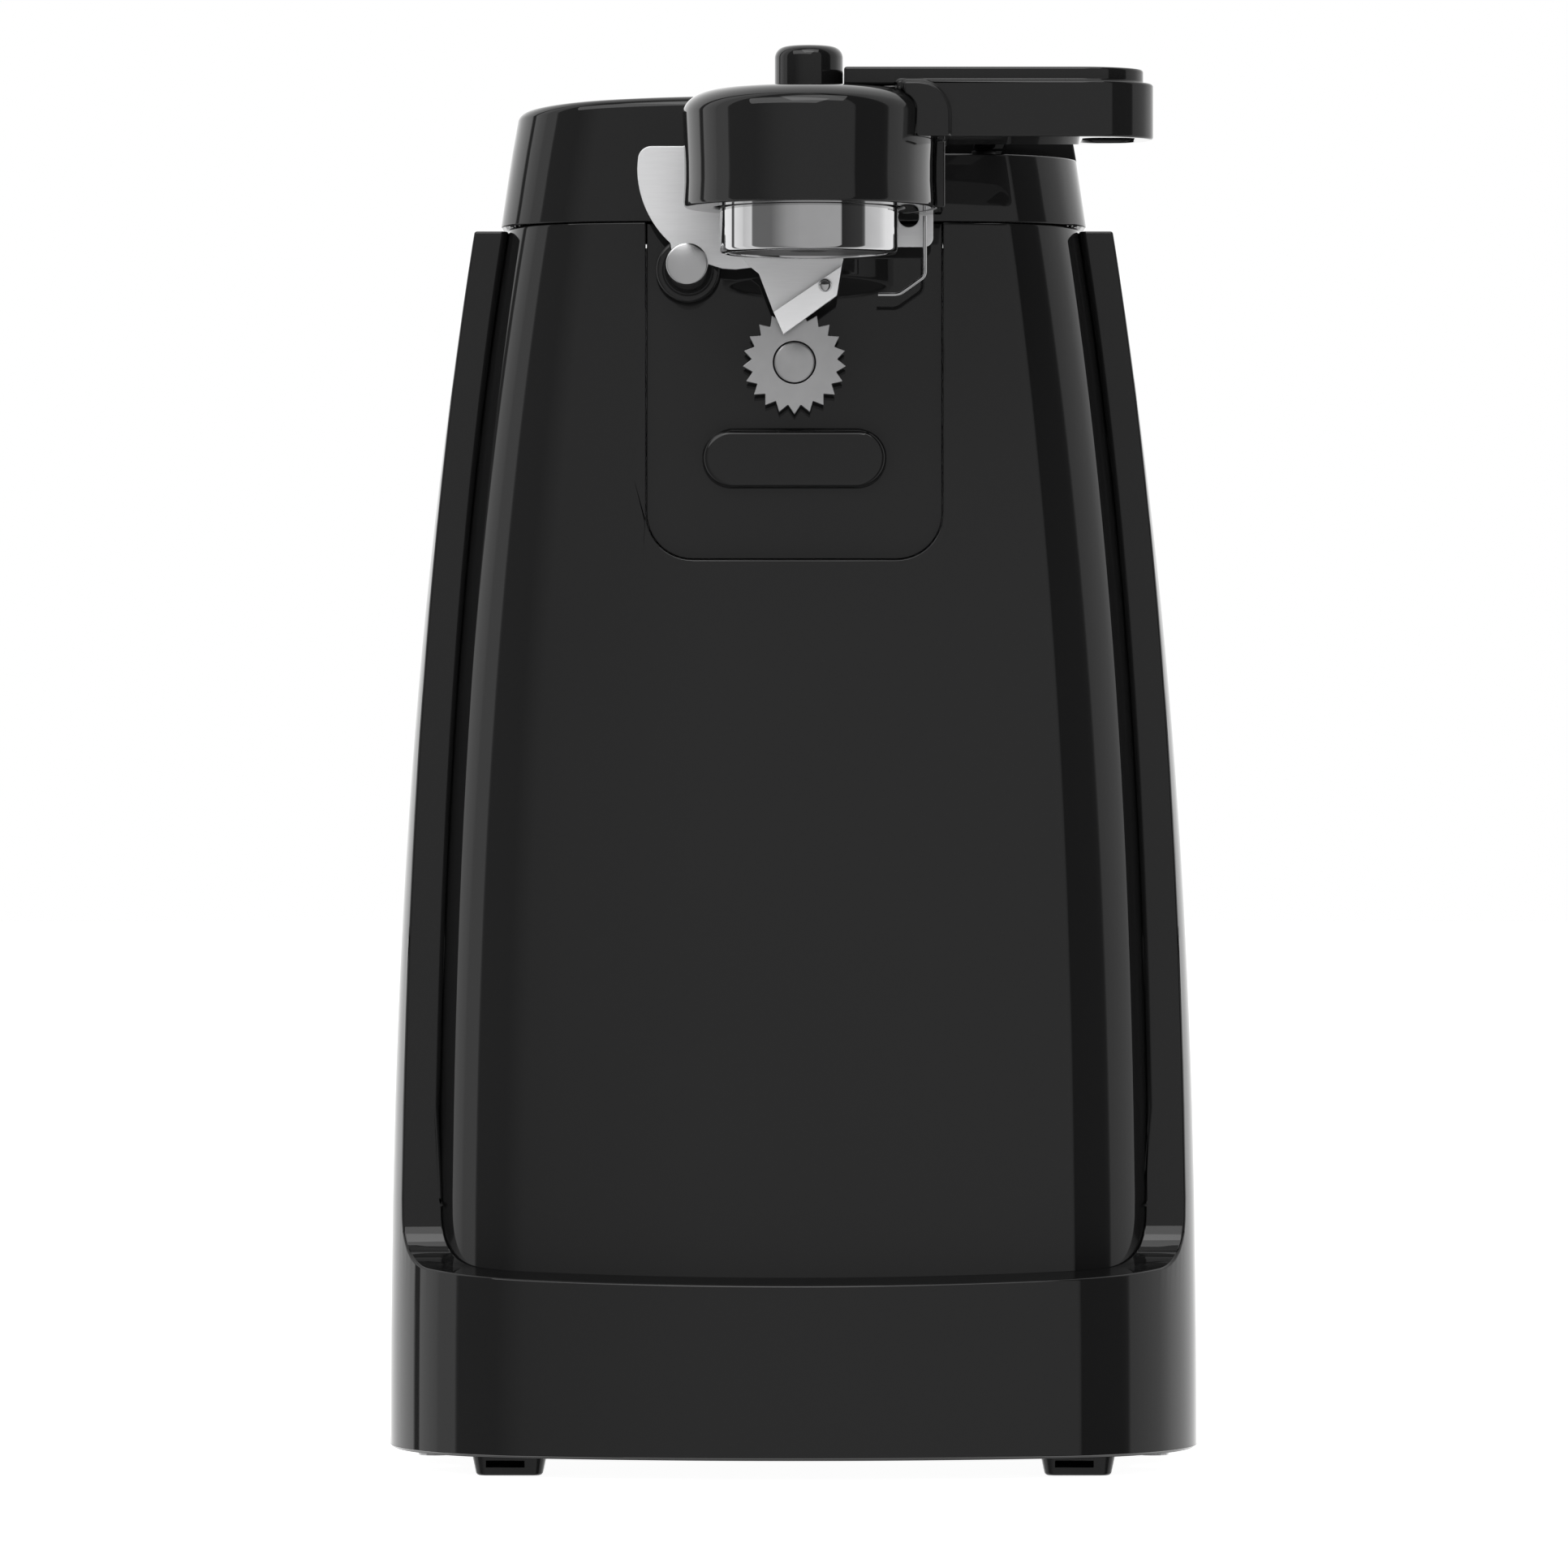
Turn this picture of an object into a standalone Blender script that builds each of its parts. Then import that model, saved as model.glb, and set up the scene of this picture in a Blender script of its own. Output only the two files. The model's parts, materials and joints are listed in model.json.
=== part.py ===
"""Electric can opener that stands on its base, built as an assembly of separate solids.

+Z is up, the front faces -Y and +X is to the right. The origin is at the middle of the
bounding box, on the surface that the feet stand on. Every size below is in millimetres,
and MM turns it into Blender's metres where a mesh is made.
"""

import math

import bmesh
import bpy
from mathutils import Matrix

MM = 0.001
GAP = 0.3  # left between two pieces that touch each other on the real object
NAME = "electric_can_opener"

# Outer housing: a base with a front rim, and a wall that wraps the sides and the back.
HALF_WIDTH = 67.0
BASE_FRONT = -30.5
BASE_BACK = 61.2
BASE_BOTTOM = 3.4
WING_TOP = 204.8
WING_FRONT = -6.0  # at the wings' foot; they lean back as the shell does
SIDE_DRAW_IN = 14.0  # how much narrower each side is at the top
BACK_DRAW_IN = 6.0
TAPER_POWER = 2.4
HOUSING_WALL = 3.0
WING_LIP = 9.5  # depth of the thick lip behind the wing's front face
SHOULDER = 6.5  # width of the flat ring that the top cap stands on
CROWN_RADIUS = 170.0
FRONT_CORNER = 31.0
BACK_CORNER = 30.0
LEDGE_HEIGHT = 31.9  # top of the front rim, at the middle of its outer edge
LEDGE_SLOPE = 0.12
LEDGE_DEPTH = 7.7
WING_FILLET = 7.0

# Front shell, held between the two wings, and the cap above it.
SHELL_HALF_WIDTH = 61.1
SHELL_DRAW_IN = 13.8
SHELL_POWER = 2.6
SHELL_LEAN = 4.8  # how far the front leans back at the top
SHELL_CORNER = 23.0
SHELL_CORNER_DROP = 5.0  # how much tighter the corner is at the top
SHELL_WALL = 2.5
SHELL_BOTTOM = 24.0
SHELL_TOP = 205.2
SHELL_BACK = 2.8
SLOT_CLEARANCE = 0.4
CAP_BOTTOM = 205.5
CAP_TOP = 226.2
CAP_BACK = 50.5
CAP_HALF_WIDTH = 48.6
SHELF_TOP = 216.7  # the lowered corner of the cap, under the lever
SHELF_LEFT = 24.5
SHELF_BACK = 3.5

# Flat panel that carries the cutting mechanism.
PANEL_HALF_WIDTH = 24.2
PANEL_BOTTOM = 150.1
PANEL_CORNER = 7.6
PANEL_THICKNESS = 3.0
PANEL_FACE = -16.4  # front face at the height of the drive wheel
PANEL_LEAN = math.radians(2.6)
PAD_HALF_WIDTH = 15.1
PAD_HEIGHT = 9.7
PAD_CENTRE_Z = 166.6
PAD_THICKNESS = 2.0

# Drive wheel and gear train, one above the other on x = DRIVE_X.
DRIVE_X = 0.1
DRIVE_Z = 182.1
WHEEL_TEETH = 21
WHEEL_TIP = 8.47
WHEEL_ROOT = 7.0
WHEEL_FRONT = -22.7
WHEEL_THICKNESS = 3.0
SHAFT_RADIUS = 3.4
MODULE = 0.7
PRESSURE_ANGLE = math.radians(25)
BACKLASH = 0.12
OUTPUT_TEETH = 60
IDLER_TEETH = 48
PINION_TEETH = 12
IDLER_Z = DRIVE_Z - MODULE * (OUTPUT_TEETH + PINION_TEETH) / 2
ROTOR_Z = IDLER_Z - MODULE * (IDLER_TEETH + PINION_TEETH) / 2
GEAR_PLANE_A = (-6.5, -0.5)  # output gear and the idler's pinion
GEAR_PLANE_B = (0.5, 4.5)  # the idler's large gear and the rotor's pinion
GEAR_PLATE = (-9.5, -7.5)
MOTOR_PLATE = (8.0, 9.5)
REAR_PLATE = (42.0, 43.5)
PLATE_HALF_WIDTH = 31.0
POSTS = ((-26.5, 166.0), (26.5, 166.0), (-26.5, 118.0), (26.5, 118.0))
BOSSES = ((-27.5, 188.0), (27.5, 188.0), (0.0, 120.0))
POST_RADIUS = 2.5

# Motor.
STATOR = (14.0, 38.0)
STATOR_HALF_WIDTH = 31.0
STATOR_Z = (84.0, 164.0)
WINDOW_HALF_WIDTH = 17.0
WINDOW_Z = (97.0, 114.0)
ROTOR_RADIUS = 13.8
STATOR_BORE = 14.3
ROTOR_SHAFT_RADIUS = 2.5
MOTOR_BOLTS = ((-25.5, 157.0), (25.5, 157.0))

# Lever, seen from the front. It swings on the pivot pin.
PIVOT_X = -17.3
PIVOT_Z = 197.4
PIN_FRONT = -37.0
PIN_HEAD_RADIUS = 3.4
PIN_SHAFT_RADIUS = 1.6
PLATE_FACE = -25.2
PLATE_THICKNESS = 1.2
DOME_X = 2.4
DOME_Y = -43.0
DOME_RADIUS = 20.2
DOME_BOTTOM = 206.0
DOME_TOP = 225.0
DOME_BACK = -25.6
ARM_LEFT = 8.0
ARM_RIGHT = 57.8
ARM_END = 12.0  # length of the arm's rounded end
ARM_Y = -44.0
ARM_HALF_DEPTH = 9.5
ARM_Z = (216.8, 225.8)
RIM_TOP = 228.1
RIM_INSET = 1.6
HUB_RIGHT = 24.9  # the arm's root beside the round housing
HUB_FRONT = -54.4
HUB_CORNER = 5.2
TAB_X = (29.5, 35.0)
TAB_Z = (218.6, 224.0)
LEVER_SCREWS = ((2.4, 213.4), (21.0, 212.5))  # into the round housing, and into the handle
LEVER_SCREW_TIPS = (-27.6, -29.8)

# Lid magnet and its push knob, which slide in the round housing.
MAGNET_RADIUS = 14.35
MAGNET_Z = (198.6, 207.6)
KNOB_RADIUS = 5.5
KNOB_BOTTOM = 225.2
KNOB_TOP = 232.0
STEM_RADIUS = 1.6

# Switch under the lever.
PLUNGER_X = 31.5
PLUNGER_Y = -1.2
PLUNGER_RADIUS = 2.2
PLUNGER_TOP = 218.2
SWITCH_TOP = 204.5

FOOT_RADIUS = 5.7
FEET = {"front_left": (-46.6, -12.0), "front_right": (46.6, -12.0),
        "rear_left": (-46.6, 44.0), "rear_right": (46.6, 44.0)}
COVER_Z = (3.8, 6.3)
BASE_SCREWS = ((-59.5, 5.0), (59.5, 5.0), (-59.5, 32.0), (59.5, 32.0))
INLET_X = 24.0
INLET_Z = 20.0

FACE_FRONT = (math.pi / 2, 0.0, 0.0)  # turns local +Z to the front, and local +Y up
UPRIGHT = (0.0, 0.0, 0.0)

COLOURS = {
    "black_plastic": ((0.012, 0.012, 0.013), 0.16, 0.0),
    "matte_plastic": ((0.02, 0.02, 0.021), 0.5, 0.0),
    "rubber": ((0.02, 0.02, 0.02), 0.8, 0.0),
    "satin_steel": ((0.62, 0.62, 0.63), 0.32, 1.0),
    "chrome": ((0.8, 0.8, 0.8), 0.08, 1.0),
    "zinc_steel": ((0.5, 0.5, 0.5), 0.4, 1.0),
    "lamination": ((0.25, 0.25, 0.26), 0.5, 1.0),
    "nylon": ((0.8, 0.78, 0.72), 0.45, 0.0),
    "copper": ((0.72, 0.32, 0.16), 0.35, 1.0),
    "bronze": ((0.55, 0.35, 0.16), 0.4, 1.0),
    "magnet": ((0.08, 0.08, 0.085), 0.45, 0.3),
}


# ---------------------------------------------------------------- scene and materials

def clear_scene():
    """Remove everything that a new file may hold."""
    for obj in list(bpy.data.objects):
        bpy.data.objects.remove(obj, do_unlink=True)


def new_collection(name):
    """A collection linked to the scene."""
    collection = bpy.data.collections.new(name)
    bpy.context.scene.collection.children.link(collection)
    return collection


def new_material(node, kind):
    """A Principled material for one node."""
    colour, roughness, metallic = COLOURS[kind]
    material = bpy.data.materials.new(node)
    material.use_nodes = True
    shader = material.node_tree.nodes["Principled BSDF"]
    shader.inputs["Base Color"].default_value = (*colour, 1.0)
    shader.inputs["Roughness"].default_value = roughness
    shader.inputs["Metallic"].default_value = metallic
    material.diffuse_color = (*colour, 1.0)
    return material


def add_object(name, data, kind, at=(0, 0, 0), turn=UPRIGHT):
    """Place new data in the parts, or among the cutters when kind is None."""
    obj = bpy.data.objects.new(name, data)
    (PARTS if kind else CUTTERS).objects.link(obj)
    obj.location = [value * MM for value in at]
    obj.rotation_euler = turn
    if kind:
        data.materials.append(new_material(name, kind))
    else:
        obj.hide_render = True
        obj.display_type = "WIRE"
    return obj


def mesh_object(name, bm, kind, at=(0, 0, 0), turn=UPRIGHT):
    """An object from a bmesh whose points are already in metres."""
    mesh = bpy.data.meshes.new(name)
    bm.to_mesh(mesh)
    bm.free()
    return add_object(name, mesh, kind, at, turn)


def shade(obj, angle=35):
    """Smooth shading that keeps edges sharper than the angle."""
    obj.data.shade_smooth()
    obj.data.set_sharp_from_angle(angle=math.radians(angle))
    return obj


def cut(obj, *cutters):
    """Subtract each cutter from the object."""
    for cutter in cutters:
        modifier = obj.modifiers.new("cut_" + cutter.name, "BOOLEAN")
        modifier.operation = "DIFFERENCE"
        modifier.object = cutter
    return obj


def join(obj, *others):
    """Unite each guide solid with the object."""
    for other in others:
        modifier = obj.modifiers.new("join_" + other.name, "BOOLEAN")
        modifier.operation = "UNION"
        modifier.object = other
    return obj


# ---------------------------------------------------------------- basic shapes

def box(name, low, high, kind):
    """A block between two corners."""
    bm = bmesh.new()
    bmesh.ops.create_cube(bm, size=1.0)
    size = [(b - a) * MM for a, b in zip(low, high)]
    bmesh.ops.scale(bm, vec=size, verts=bm.verts)
    centre = [(a + b) / 2 for a, b in zip(low, high)]
    return mesh_object(name, bm, kind, centre)


def cylinder(name, radius, length, centre, kind, turn=UPRIGHT, sides=24):
    """A round bar, along Z or, turned, along Y."""
    bm = bmesh.new()
    bmesh.ops.create_cone(bm, cap_ends=True, segments=sides, radius1=radius * MM,
                          radius2=radius * MM, depth=length * MM)
    bar = mesh_object(name, bm, kind, centre, turn)
    return shade(bar) if kind else bar


def bar_y(name, radius, span, x, z, kind, sides=24):
    """A round bar along Y, between two Y values."""
    centre = (x, (span[0] + span[1]) / 2, z)
    return cylinder(name, radius, span[1] - span[0], centre, kind, FACE_FRONT, sides)


def bar_z(name, radius, span, x, y, kind, sides=24):
    """An upright round bar between two heights."""
    return cylinder(name, radius, span[1] - span[0], (x, y, (span[0] + span[1]) / 2),
                    kind, UPRIGHT, sides)


def turned(name, profile, kind, at, turn=UPRIGHT, steps=32):
    """A lathe piece. The profile is (radius, height), and runs from the top down its outer side."""
    bm = bmesh.new()
    points = [bm.verts.new((radius * MM, 0.0, height * MM)) for radius, height in profile]
    for first, second in zip(points, points[1:]):
        bm.edges.new((first, second))
    if profile[0][0] > 0:
        bm.edges.new((points[-1], points[0]))
    obj = mesh_object(name, bm, kind, at, turn)
    screw = obj.modifiers.new("turn", "SCREW")
    screw.steps = steps
    screw.render_steps = steps
    screw.use_merge_vertices = True
    screw.merge_threshold = 0.00001
    return obj


def tube(name, inner, outer, span, x, y, z, kind, turn=UPRIGHT, steps=24):
    """A ring or bush. The span is measured along its own axis from the given point."""
    profile = [(inner, span[1]), (outer, span[1]), (outer, span[0]), (inner, span[0])]
    return turned(name, profile, kind, (x, y, z), turn, steps)


def plate(name, outlines, thickness, kind, at, turn=UPRIGHT):
    """A flat sheet from closed outlines, the first one solid and the others holes in it."""
    curve = bpy.data.curves.new(name, "CURVE")
    curve.dimensions = "2D"
    curve.fill_mode = "BOTH"
    curve.extrude = thickness * MM / 2
    for outline in outlines:
        spline = curve.splines.new("POLY")
        spline.points.add(len(outline) - 1)
        for point, (x, y) in zip(spline.points, outline):
            point.co = (x * MM, y * MM, 0.0, 1.0)
        spline.use_cyclic_u = True
    source = bpy.data.objects.new(name + "_outline", curve)
    PARTS.objects.link(source)
    bpy.context.view_layer.update()
    depsgraph = bpy.context.evaluated_depsgraph_get()
    mesh = bpy.data.meshes.new_from_object(source.evaluated_get(depsgraph))
    bm = bmesh.new()
    bm.from_mesh(mesh)
    bmesh.ops.remove_doubles(bm, verts=bm.verts, dist=0.000001)
    bmesh.ops.recalc_face_normals(bm, faces=bm.faces)
    bm.to_mesh(mesh)
    bm.free()
    bpy.data.objects.remove(source, do_unlink=True)
    mesh.name = name
    mesh.materials.clear()
    return add_object(name, mesh, kind, at, turn)


def plate_xz(name, outlines, span, kind):
    """A sheet whose outlines are (x, z), between two Y values."""
    return plate(name, outlines, span[1] - span[0], kind, (0, (span[0] + span[1]) / 2, 0),
                 FACE_FRONT)


def wire(name, points, radius, kind, at=(0, 0, 0)):
    """A round wire through the points, with closed ends."""
    curve = bpy.data.curves.new(name, "CURVE")
    curve.dimensions = "3D"
    curve.bevel_depth = radius * MM
    curve.bevel_resolution = 1
    curve.use_fill_caps = True
    spline = curve.splines.new("POLY")
    spline.points.add(len(points) - 1)
    for point, place in zip(spline.points, points):
        point.co = (*[value * MM for value in place], 1.0)
    return add_object(name, curve, kind, at)


# ---------------------------------------------------------------- outlines

def arc(centre, radius, start, end, steps):
    """Points on an arc, angles in degrees, both ends included."""
    points = []
    for i in range(steps + 1):
        angle = math.radians(start + (end - start) * i / steps)
        points.append((centre[0] + radius * math.cos(angle),
                       centre[1] + radius * math.sin(angle)))
    return points


def circle(centre, radius, steps=20):
    """A closed circle."""
    return arc(centre, radius, 0, 360 - 360 / steps, steps - 1)


def stadium(centre, half_width, half_height, steps=8):
    """A long pill shape."""
    reach = half_width - half_height
    right = arc((centre[0] + reach, centre[1]), half_height, -90, 90, steps)
    left = arc((centre[0] - reach, centre[1]), half_height, 90, 270, steps)
    return right + left


def round_rectangle(low, high, corner, steps=3):
    """A rectangle with round corners, between two corner points."""
    inner_low = (low[0] + corner, low[1] + corner)
    inner_high = (high[0] - corner, high[1] - corner)
    outline = arc(inner_high, corner, 0, 90, steps)
    outline += arc((inner_low[0], inner_high[1]), corner, 90, 180, steps)
    outline += arc(inner_low, corner, 180, 270, steps)
    outline += arc((inner_high[0], inner_low[1]), corner, 270, 360, steps)
    return outline


def gear_outline(teeth, phase):
    """Involute teeth, with one centred on the phase angle. A large gear's flanks are straight."""
    pitch = MODULE * teeth / 2
    base = pitch * math.cos(PRESSURE_ANGLE)
    tip = pitch + MODULE * 0.95
    root = pitch - MODULE * 1.2

    def half_angle(radius):
        lean = math.sqrt(max((radius / base) ** 2 - 1.0, 0.0))
        involute = lean - math.atan(lean)
        pitch_lean = math.tan(PRESSURE_ANGLE)
        pitch_involute = pitch_lean - math.atan(pitch_lean)
        half_tooth = math.pi / (2 * teeth) - BACKLASH / (2 * pitch)
        return half_tooth + pitch_involute - involute

    rise = (root, pitch, tip) if teeth == PINION_TEETH else (root, tip)
    points = []
    for i in range(teeth):
        middle = phase + 2 * math.pi * i / teeth
        for side, radii in ((-1, rise), (1, rise[::-1])):
            for radius in radii:
                angle = middle + side * half_angle(radius)
                points.append((radius * math.cos(angle), radius * math.sin(angle)))
    return points


def pointed_outline(teeth, tip, root):
    """A star wheel with one tooth pointing straight down."""
    points = []
    for i in range(teeth):
        middle = -math.pi / 2 + 2 * math.pi * i / teeth
        points.append((tip * math.cos(middle), tip * math.sin(middle)))
        valley = middle + math.pi / teeth
        points.append((root * math.cos(valley), root * math.sin(valley)))
    return points


# ---------------------------------------------------------------- lofted body shells

def body_ring(half_width, front, back, crown, front_corner, back_corner):
    """Plan outline with a crowned front, round corners, straight sides and a flat back."""
    corner_x = half_width - front_corner
    reach = crown - front_corner
    corner_y = front + crown - math.sqrt(reach ** 2 - corner_x ** 2)
    turn = math.asin(corner_x / reach)
    right = []
    for i in range(5):
        angle = turn * i / 4
        right.append((crown * math.sin(angle), front + crown - crown * math.cos(angle)))
    for i in range(1, 7):
        angle = turn + (math.pi / 2 - turn) * i / 6
        right.append((corner_x + front_corner * math.sin(angle),
                      corner_y - front_corner * math.cos(angle)))
    for i in range(5):
        angle = math.pi / 2 * i / 4
        right.append((half_width - back_corner + back_corner * math.cos(angle),
                      back - back_corner + back_corner * math.sin(angle)))
    left = [(-x, y) for x, y in reversed(right) if x > 0.01]
    return right + left


def loft(name, levels, kind):
    """A closed solid through plan rings, given as (height, ring) from the bottom up."""
    bm = bmesh.new()
    rings = []
    for height, ring in levels:
        rings.append([bm.verts.new((x * MM, y * MM, height * MM)) for x, y in ring])
    count = len(rings[0])
    for lower, upper in zip(rings, rings[1:]):
        for i in range(count):
            j = (i + 1) % count
            bm.faces.new((lower[i], lower[j], upper[j], upper[i]))
    bm.faces.new(list(reversed(rings[0])))
    bm.faces.new(rings[-1])
    obj = mesh_object(name, bm, kind)
    return shade(obj, 40) if kind else obj


def taper(height, power):
    """How far up the body a height is, from 0 at the table to 1 at the wings' top."""
    return (max(height, 0.0) / WING_TOP) ** power


def housing_ring(height, inset):
    """Outer housing's plan at a height, moved inwards by the inset."""
    drawn = taper(height, TAPER_POWER)
    return body_ring(HALF_WIDTH - SIDE_DRAW_IN * drawn - inset,
                     BASE_FRONT + inset,
                     BASE_BACK - BACK_DRAW_IN * drawn - inset,
                     CROWN_RADIUS - inset, FRONT_CORNER - inset, BACK_CORNER - inset)


def shell_front(height):
    """Y of the front shell's middle line."""
    return BASE_FRONT + LEDGE_DEPTH + SHELL_LEAN * taper(height, TAPER_POWER)


def shell_half_width(height):
    """Half the width of the front shell."""
    return SHELL_HALF_WIDTH - SHELL_DRAW_IN * taper(height, SHELL_POWER)


def shell_corner(height):
    """Radius of the front shell's corners."""
    return SHELL_CORNER - SHELL_CORNER_DROP * taper(height, TAPER_POWER)


def shell_ring(height, inset):
    """Front shell's plan at a height, moved inwards by the inset and run on to the back."""
    return body_ring(shell_half_width(height) - inset, shell_front(height) + inset,
                     SHELL_BACK + 30, CROWN_RADIUS - 5 - inset, shell_corner(height) - inset,
                     0.5)


def behind(name, y):
    """A cutter for everything behind a Y value."""
    return box(name, (-100.0, y, -20.0), (100.0, y + 100.0, 260.0), None)


def cap_ring(height, inset):
    """Top cap's plan, with its rounded upper edge."""
    rise = max(height - CAP_BOTTOM, 0.0)
    half_width = CAP_HALF_WIDTH - 0.147 * rise - inset
    front = shell_front(CAP_BOTTOM) + 0.08 * rise + inset
    return body_ring(half_width, front, CAP_BACK - 0.08 * rise - inset,
                     CROWN_RADIUS - 5 - inset, shell_corner(CAP_BOTTOM) - inset, 18.0 - inset)


def ledge_z(y):
    """Height of the sloping ledge on the front rim."""
    return LEDGE_HEIGHT + LEDGE_SLOPE * (y - BASE_FRONT)


# ---------------------------------------------------------------- housing pieces

def wing_front(height):
    """Y of the wings' front faces."""
    return WING_FRONT + SHELL_LEAN * taper(height, TAPER_POWER)


def front_opening_cutter():
    """Everything in front of the wings and above the ledge, as a profile in Y and Z."""
    far = BASE_FRONT - 15
    fillet_y = WING_FRONT - WING_FILLET
    fillet_z = ledge_z(fillet_y) + WING_FILLET
    slope = math.degrees(math.atan(LEDGE_SLOPE))
    profile = [(far, ledge_z(far))]
    profile += arc((fillet_y, fillet_z), WING_FILLET, -90 + slope, 0, 5)
    profile += [(wing_front(z), z) for z in (80.0, 109.0, 130.0, 150.0, 168.0, 186.0,
                                             WING_TOP, WING_TOP + 10)]
    profile.append((far, WING_TOP + 10))
    turn = (math.pi / 2, 0.0, math.pi / 2)
    return plate("front_opening_cutter", [profile], 2 * HALF_WIDTH + 20, None, (0, 0, 0), turn)


def make_rear_housing():
    """Base and wings in one moulding, open at the bottom, the front and the top."""
    heights = (3.9, 35.0, 60.0, 85.0, 109.0, 130.0, 150.0, 168.0, 186.0, WING_TOP - 1.2)
    levels = [(BASE_BOTTOM, housing_ring(BASE_BOTTOM, 0.4))]
    levels += [(z, housing_ring(z, 0.0)) for z in heights]
    levels += [(WING_TOP, housing_ring(WING_TOP, 1.2))]
    housing = loft("rear_housing", levels, "black_plastic")

    base_top = LEDGE_HEIGHT - HOUSING_WALL - 0.5
    base_hollow = loft("base_hollow_cutter", [
        (BASE_BOTTOM - 5, housing_ring(BASE_BOTTOM, HOUSING_WALL)),
        (base_top, housing_ring(base_top, HOUSING_WALL))], None)

    hollow_front = WING_FRONT + WING_LIP
    levels = []
    for z in (base_top - 1, 60.0, 100.0, 140.0, 170.0, WING_TOP - HOUSING_WALL):
        drawn = taper(z, TAPER_POWER)
        levels.append((z, body_ring(HALF_WIDTH - SIDE_DRAW_IN * drawn - HOUSING_WALL,
                                    hollow_front,
                                    BASE_BACK - BACK_DRAW_IN * drawn - HOUSING_WALL,
                                    3000.0, 1.0, BACK_CORNER - HOUSING_WALL)))
    wall_hollow = loft("wall_hollow_cutter", levels, None)

    top = housing_ring(WING_TOP, SHOULDER)
    top_opening = loft("top_opening_cutter", [(WING_TOP - HOUSING_WALL - 1, top),
                                              (WING_TOP + 2, top)], None)
    slot_heights = (SHELL_BOTTOM - 6, 45.0, 75.0, 109.0, 135.0, 160.0, 182.0, WING_TOP + 2)
    slot = loft("front_slot_cutter", [(z, shell_ring(z, -SLOT_CLEARANCE))
                                      for z in slot_heights], None)
    cut(slot, behind("slot_back_cutter", hollow_front + 0.5))
    inlet = bar_y("inlet_cutter", 4.8, (BASE_BACK - 10, BASE_BACK + 5), INLET_X, INLET_Z, None)

    bosses, holes = [], []
    for i, (x, y) in enumerate(BASE_SCREWS):
        boss = bar_z(f"base_boss_{i + 1}", 5.5, (COVER_Z[1] + GAP, 24.0), x, y, None, 16)
        bosses.append(boss)
        holes.append(bar_z(f"base_boss_hole_{i + 1}", 1.8, (0.0, 18.0), x, y, None, 12))
    cut(housing, front_opening_cutter(), base_hollow, wall_hollow, top_opening, slot, inlet)
    join(housing, *bosses)
    cut(housing, *holes)
    return housing


def make_front_shell():
    """Front cover, an open channel with the notch for the mechanism panel."""
    heights = (SHELL_BOTTOM, 45.0, 75.0, 109.0, 135.0, 160.0, 182.0, SHELL_TOP)
    shell = loft("front_shell", [(z, shell_ring(z, 0.0)) for z in heights], "black_plastic")
    heights = (SHELL_BOTTOM - 5,) + heights[1:-1] + (SHELL_TOP + 5,)
    hollow = loft("shell_hollow_cutter", [(z, shell_ring(z, SHELL_WALL)) for z in heights],
                  None)
    notch = panel_outline(GAP, SHELL_TOP + 10)
    notch_cutter = plate_xz("panel_notch_cutter", [notch], (-40.0, -6.0), None)
    bosses, holes = [], []
    for i, (x, z) in enumerate(BOSSES):
        start = shell_front(z) + 1.5 + x * x / (2 * CROWN_RADIUS)
        bosses.append(bar_y(f"shell_boss_{i + 1}", 3.0, (start, GEAR_PLATE[0] - GAP),
                            x, z, None, 16))
        holes.append(bar_y(f"shell_boss_hole_{i + 1}", 1.7, (GEAR_PLATE[0] - 4, 0.0),
                           x, z, None, 12))
    cut(shell, hollow, behind("shell_back_cutter", SHELL_BACK))
    join(shell, *bosses)
    cut(shell, notch_cutter, *holes)
    return shell


def panel_outline(grow, top):
    """The mechanism panel's U shape, as (x, z)."""
    half = PANEL_HALF_WIDTH + grow
    low = PANEL_BOTTOM - grow
    corner = PANEL_CORNER + grow
    outline = [(DRIVE_X + half, top), (DRIVE_X - half, top)]
    outline += arc((DRIVE_X - half + corner, low + corner), corner, 180, 270, 6)
    outline += arc((DRIVE_X + half - corner, low + corner), corner, 270, 360, 6)
    return outline


def lean_back(obj):
    """Set a plate on the panel's leaning plane, hinged at the drive wheel's height."""
    obj.rotation_euler = (math.pi / 2 - PANEL_LEAN, 0.0, 0.0)
    return obj


def make_mechanism_panel():
    """Flat panel behind the wheel, leaning back like the shell around it."""
    outline = [(x, z - DRIVE_Z) for x, z in panel_outline(0.0, SHELL_TOP)]
    panel = plate("mechanism_panel", [outline], PANEL_THICKNESS, "black_plastic",
                  (0, PANEL_FACE + PANEL_THICKNESS / 2, DRIVE_Z), FACE_FRONT)
    lean_back(panel)
    span = (PANEL_FACE - 8, PANEL_FACE + 10)
    cut(panel, bar_y("panel_shaft_cutter", SHAFT_RADIUS + 0.4, span, DRIVE_X, DRIVE_Z, None),
        bar_y("panel_pin_cutter", PIN_SHAFT_RADIUS + GAP, span, PIVOT_X, PIVOT_Z, None))
    return panel


def make_can_rest_pad():
    """Raised pill-shaped pad below the drive wheel that steadies the can's wall."""
    drop = PAD_CENTRE_Z - DRIVE_Z
    outline = stadium((DRIVE_X, drop), PAD_HALF_WIDTH, PAD_HEIGHT / 2)
    pad = plate("can_rest_pad", [outline], PAD_THICKNESS, "black_plastic",
                (0, PANEL_FACE - GAP - PAD_THICKNESS / 2, DRIVE_Z), FACE_FRONT)
    return lean_back(pad)


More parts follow.
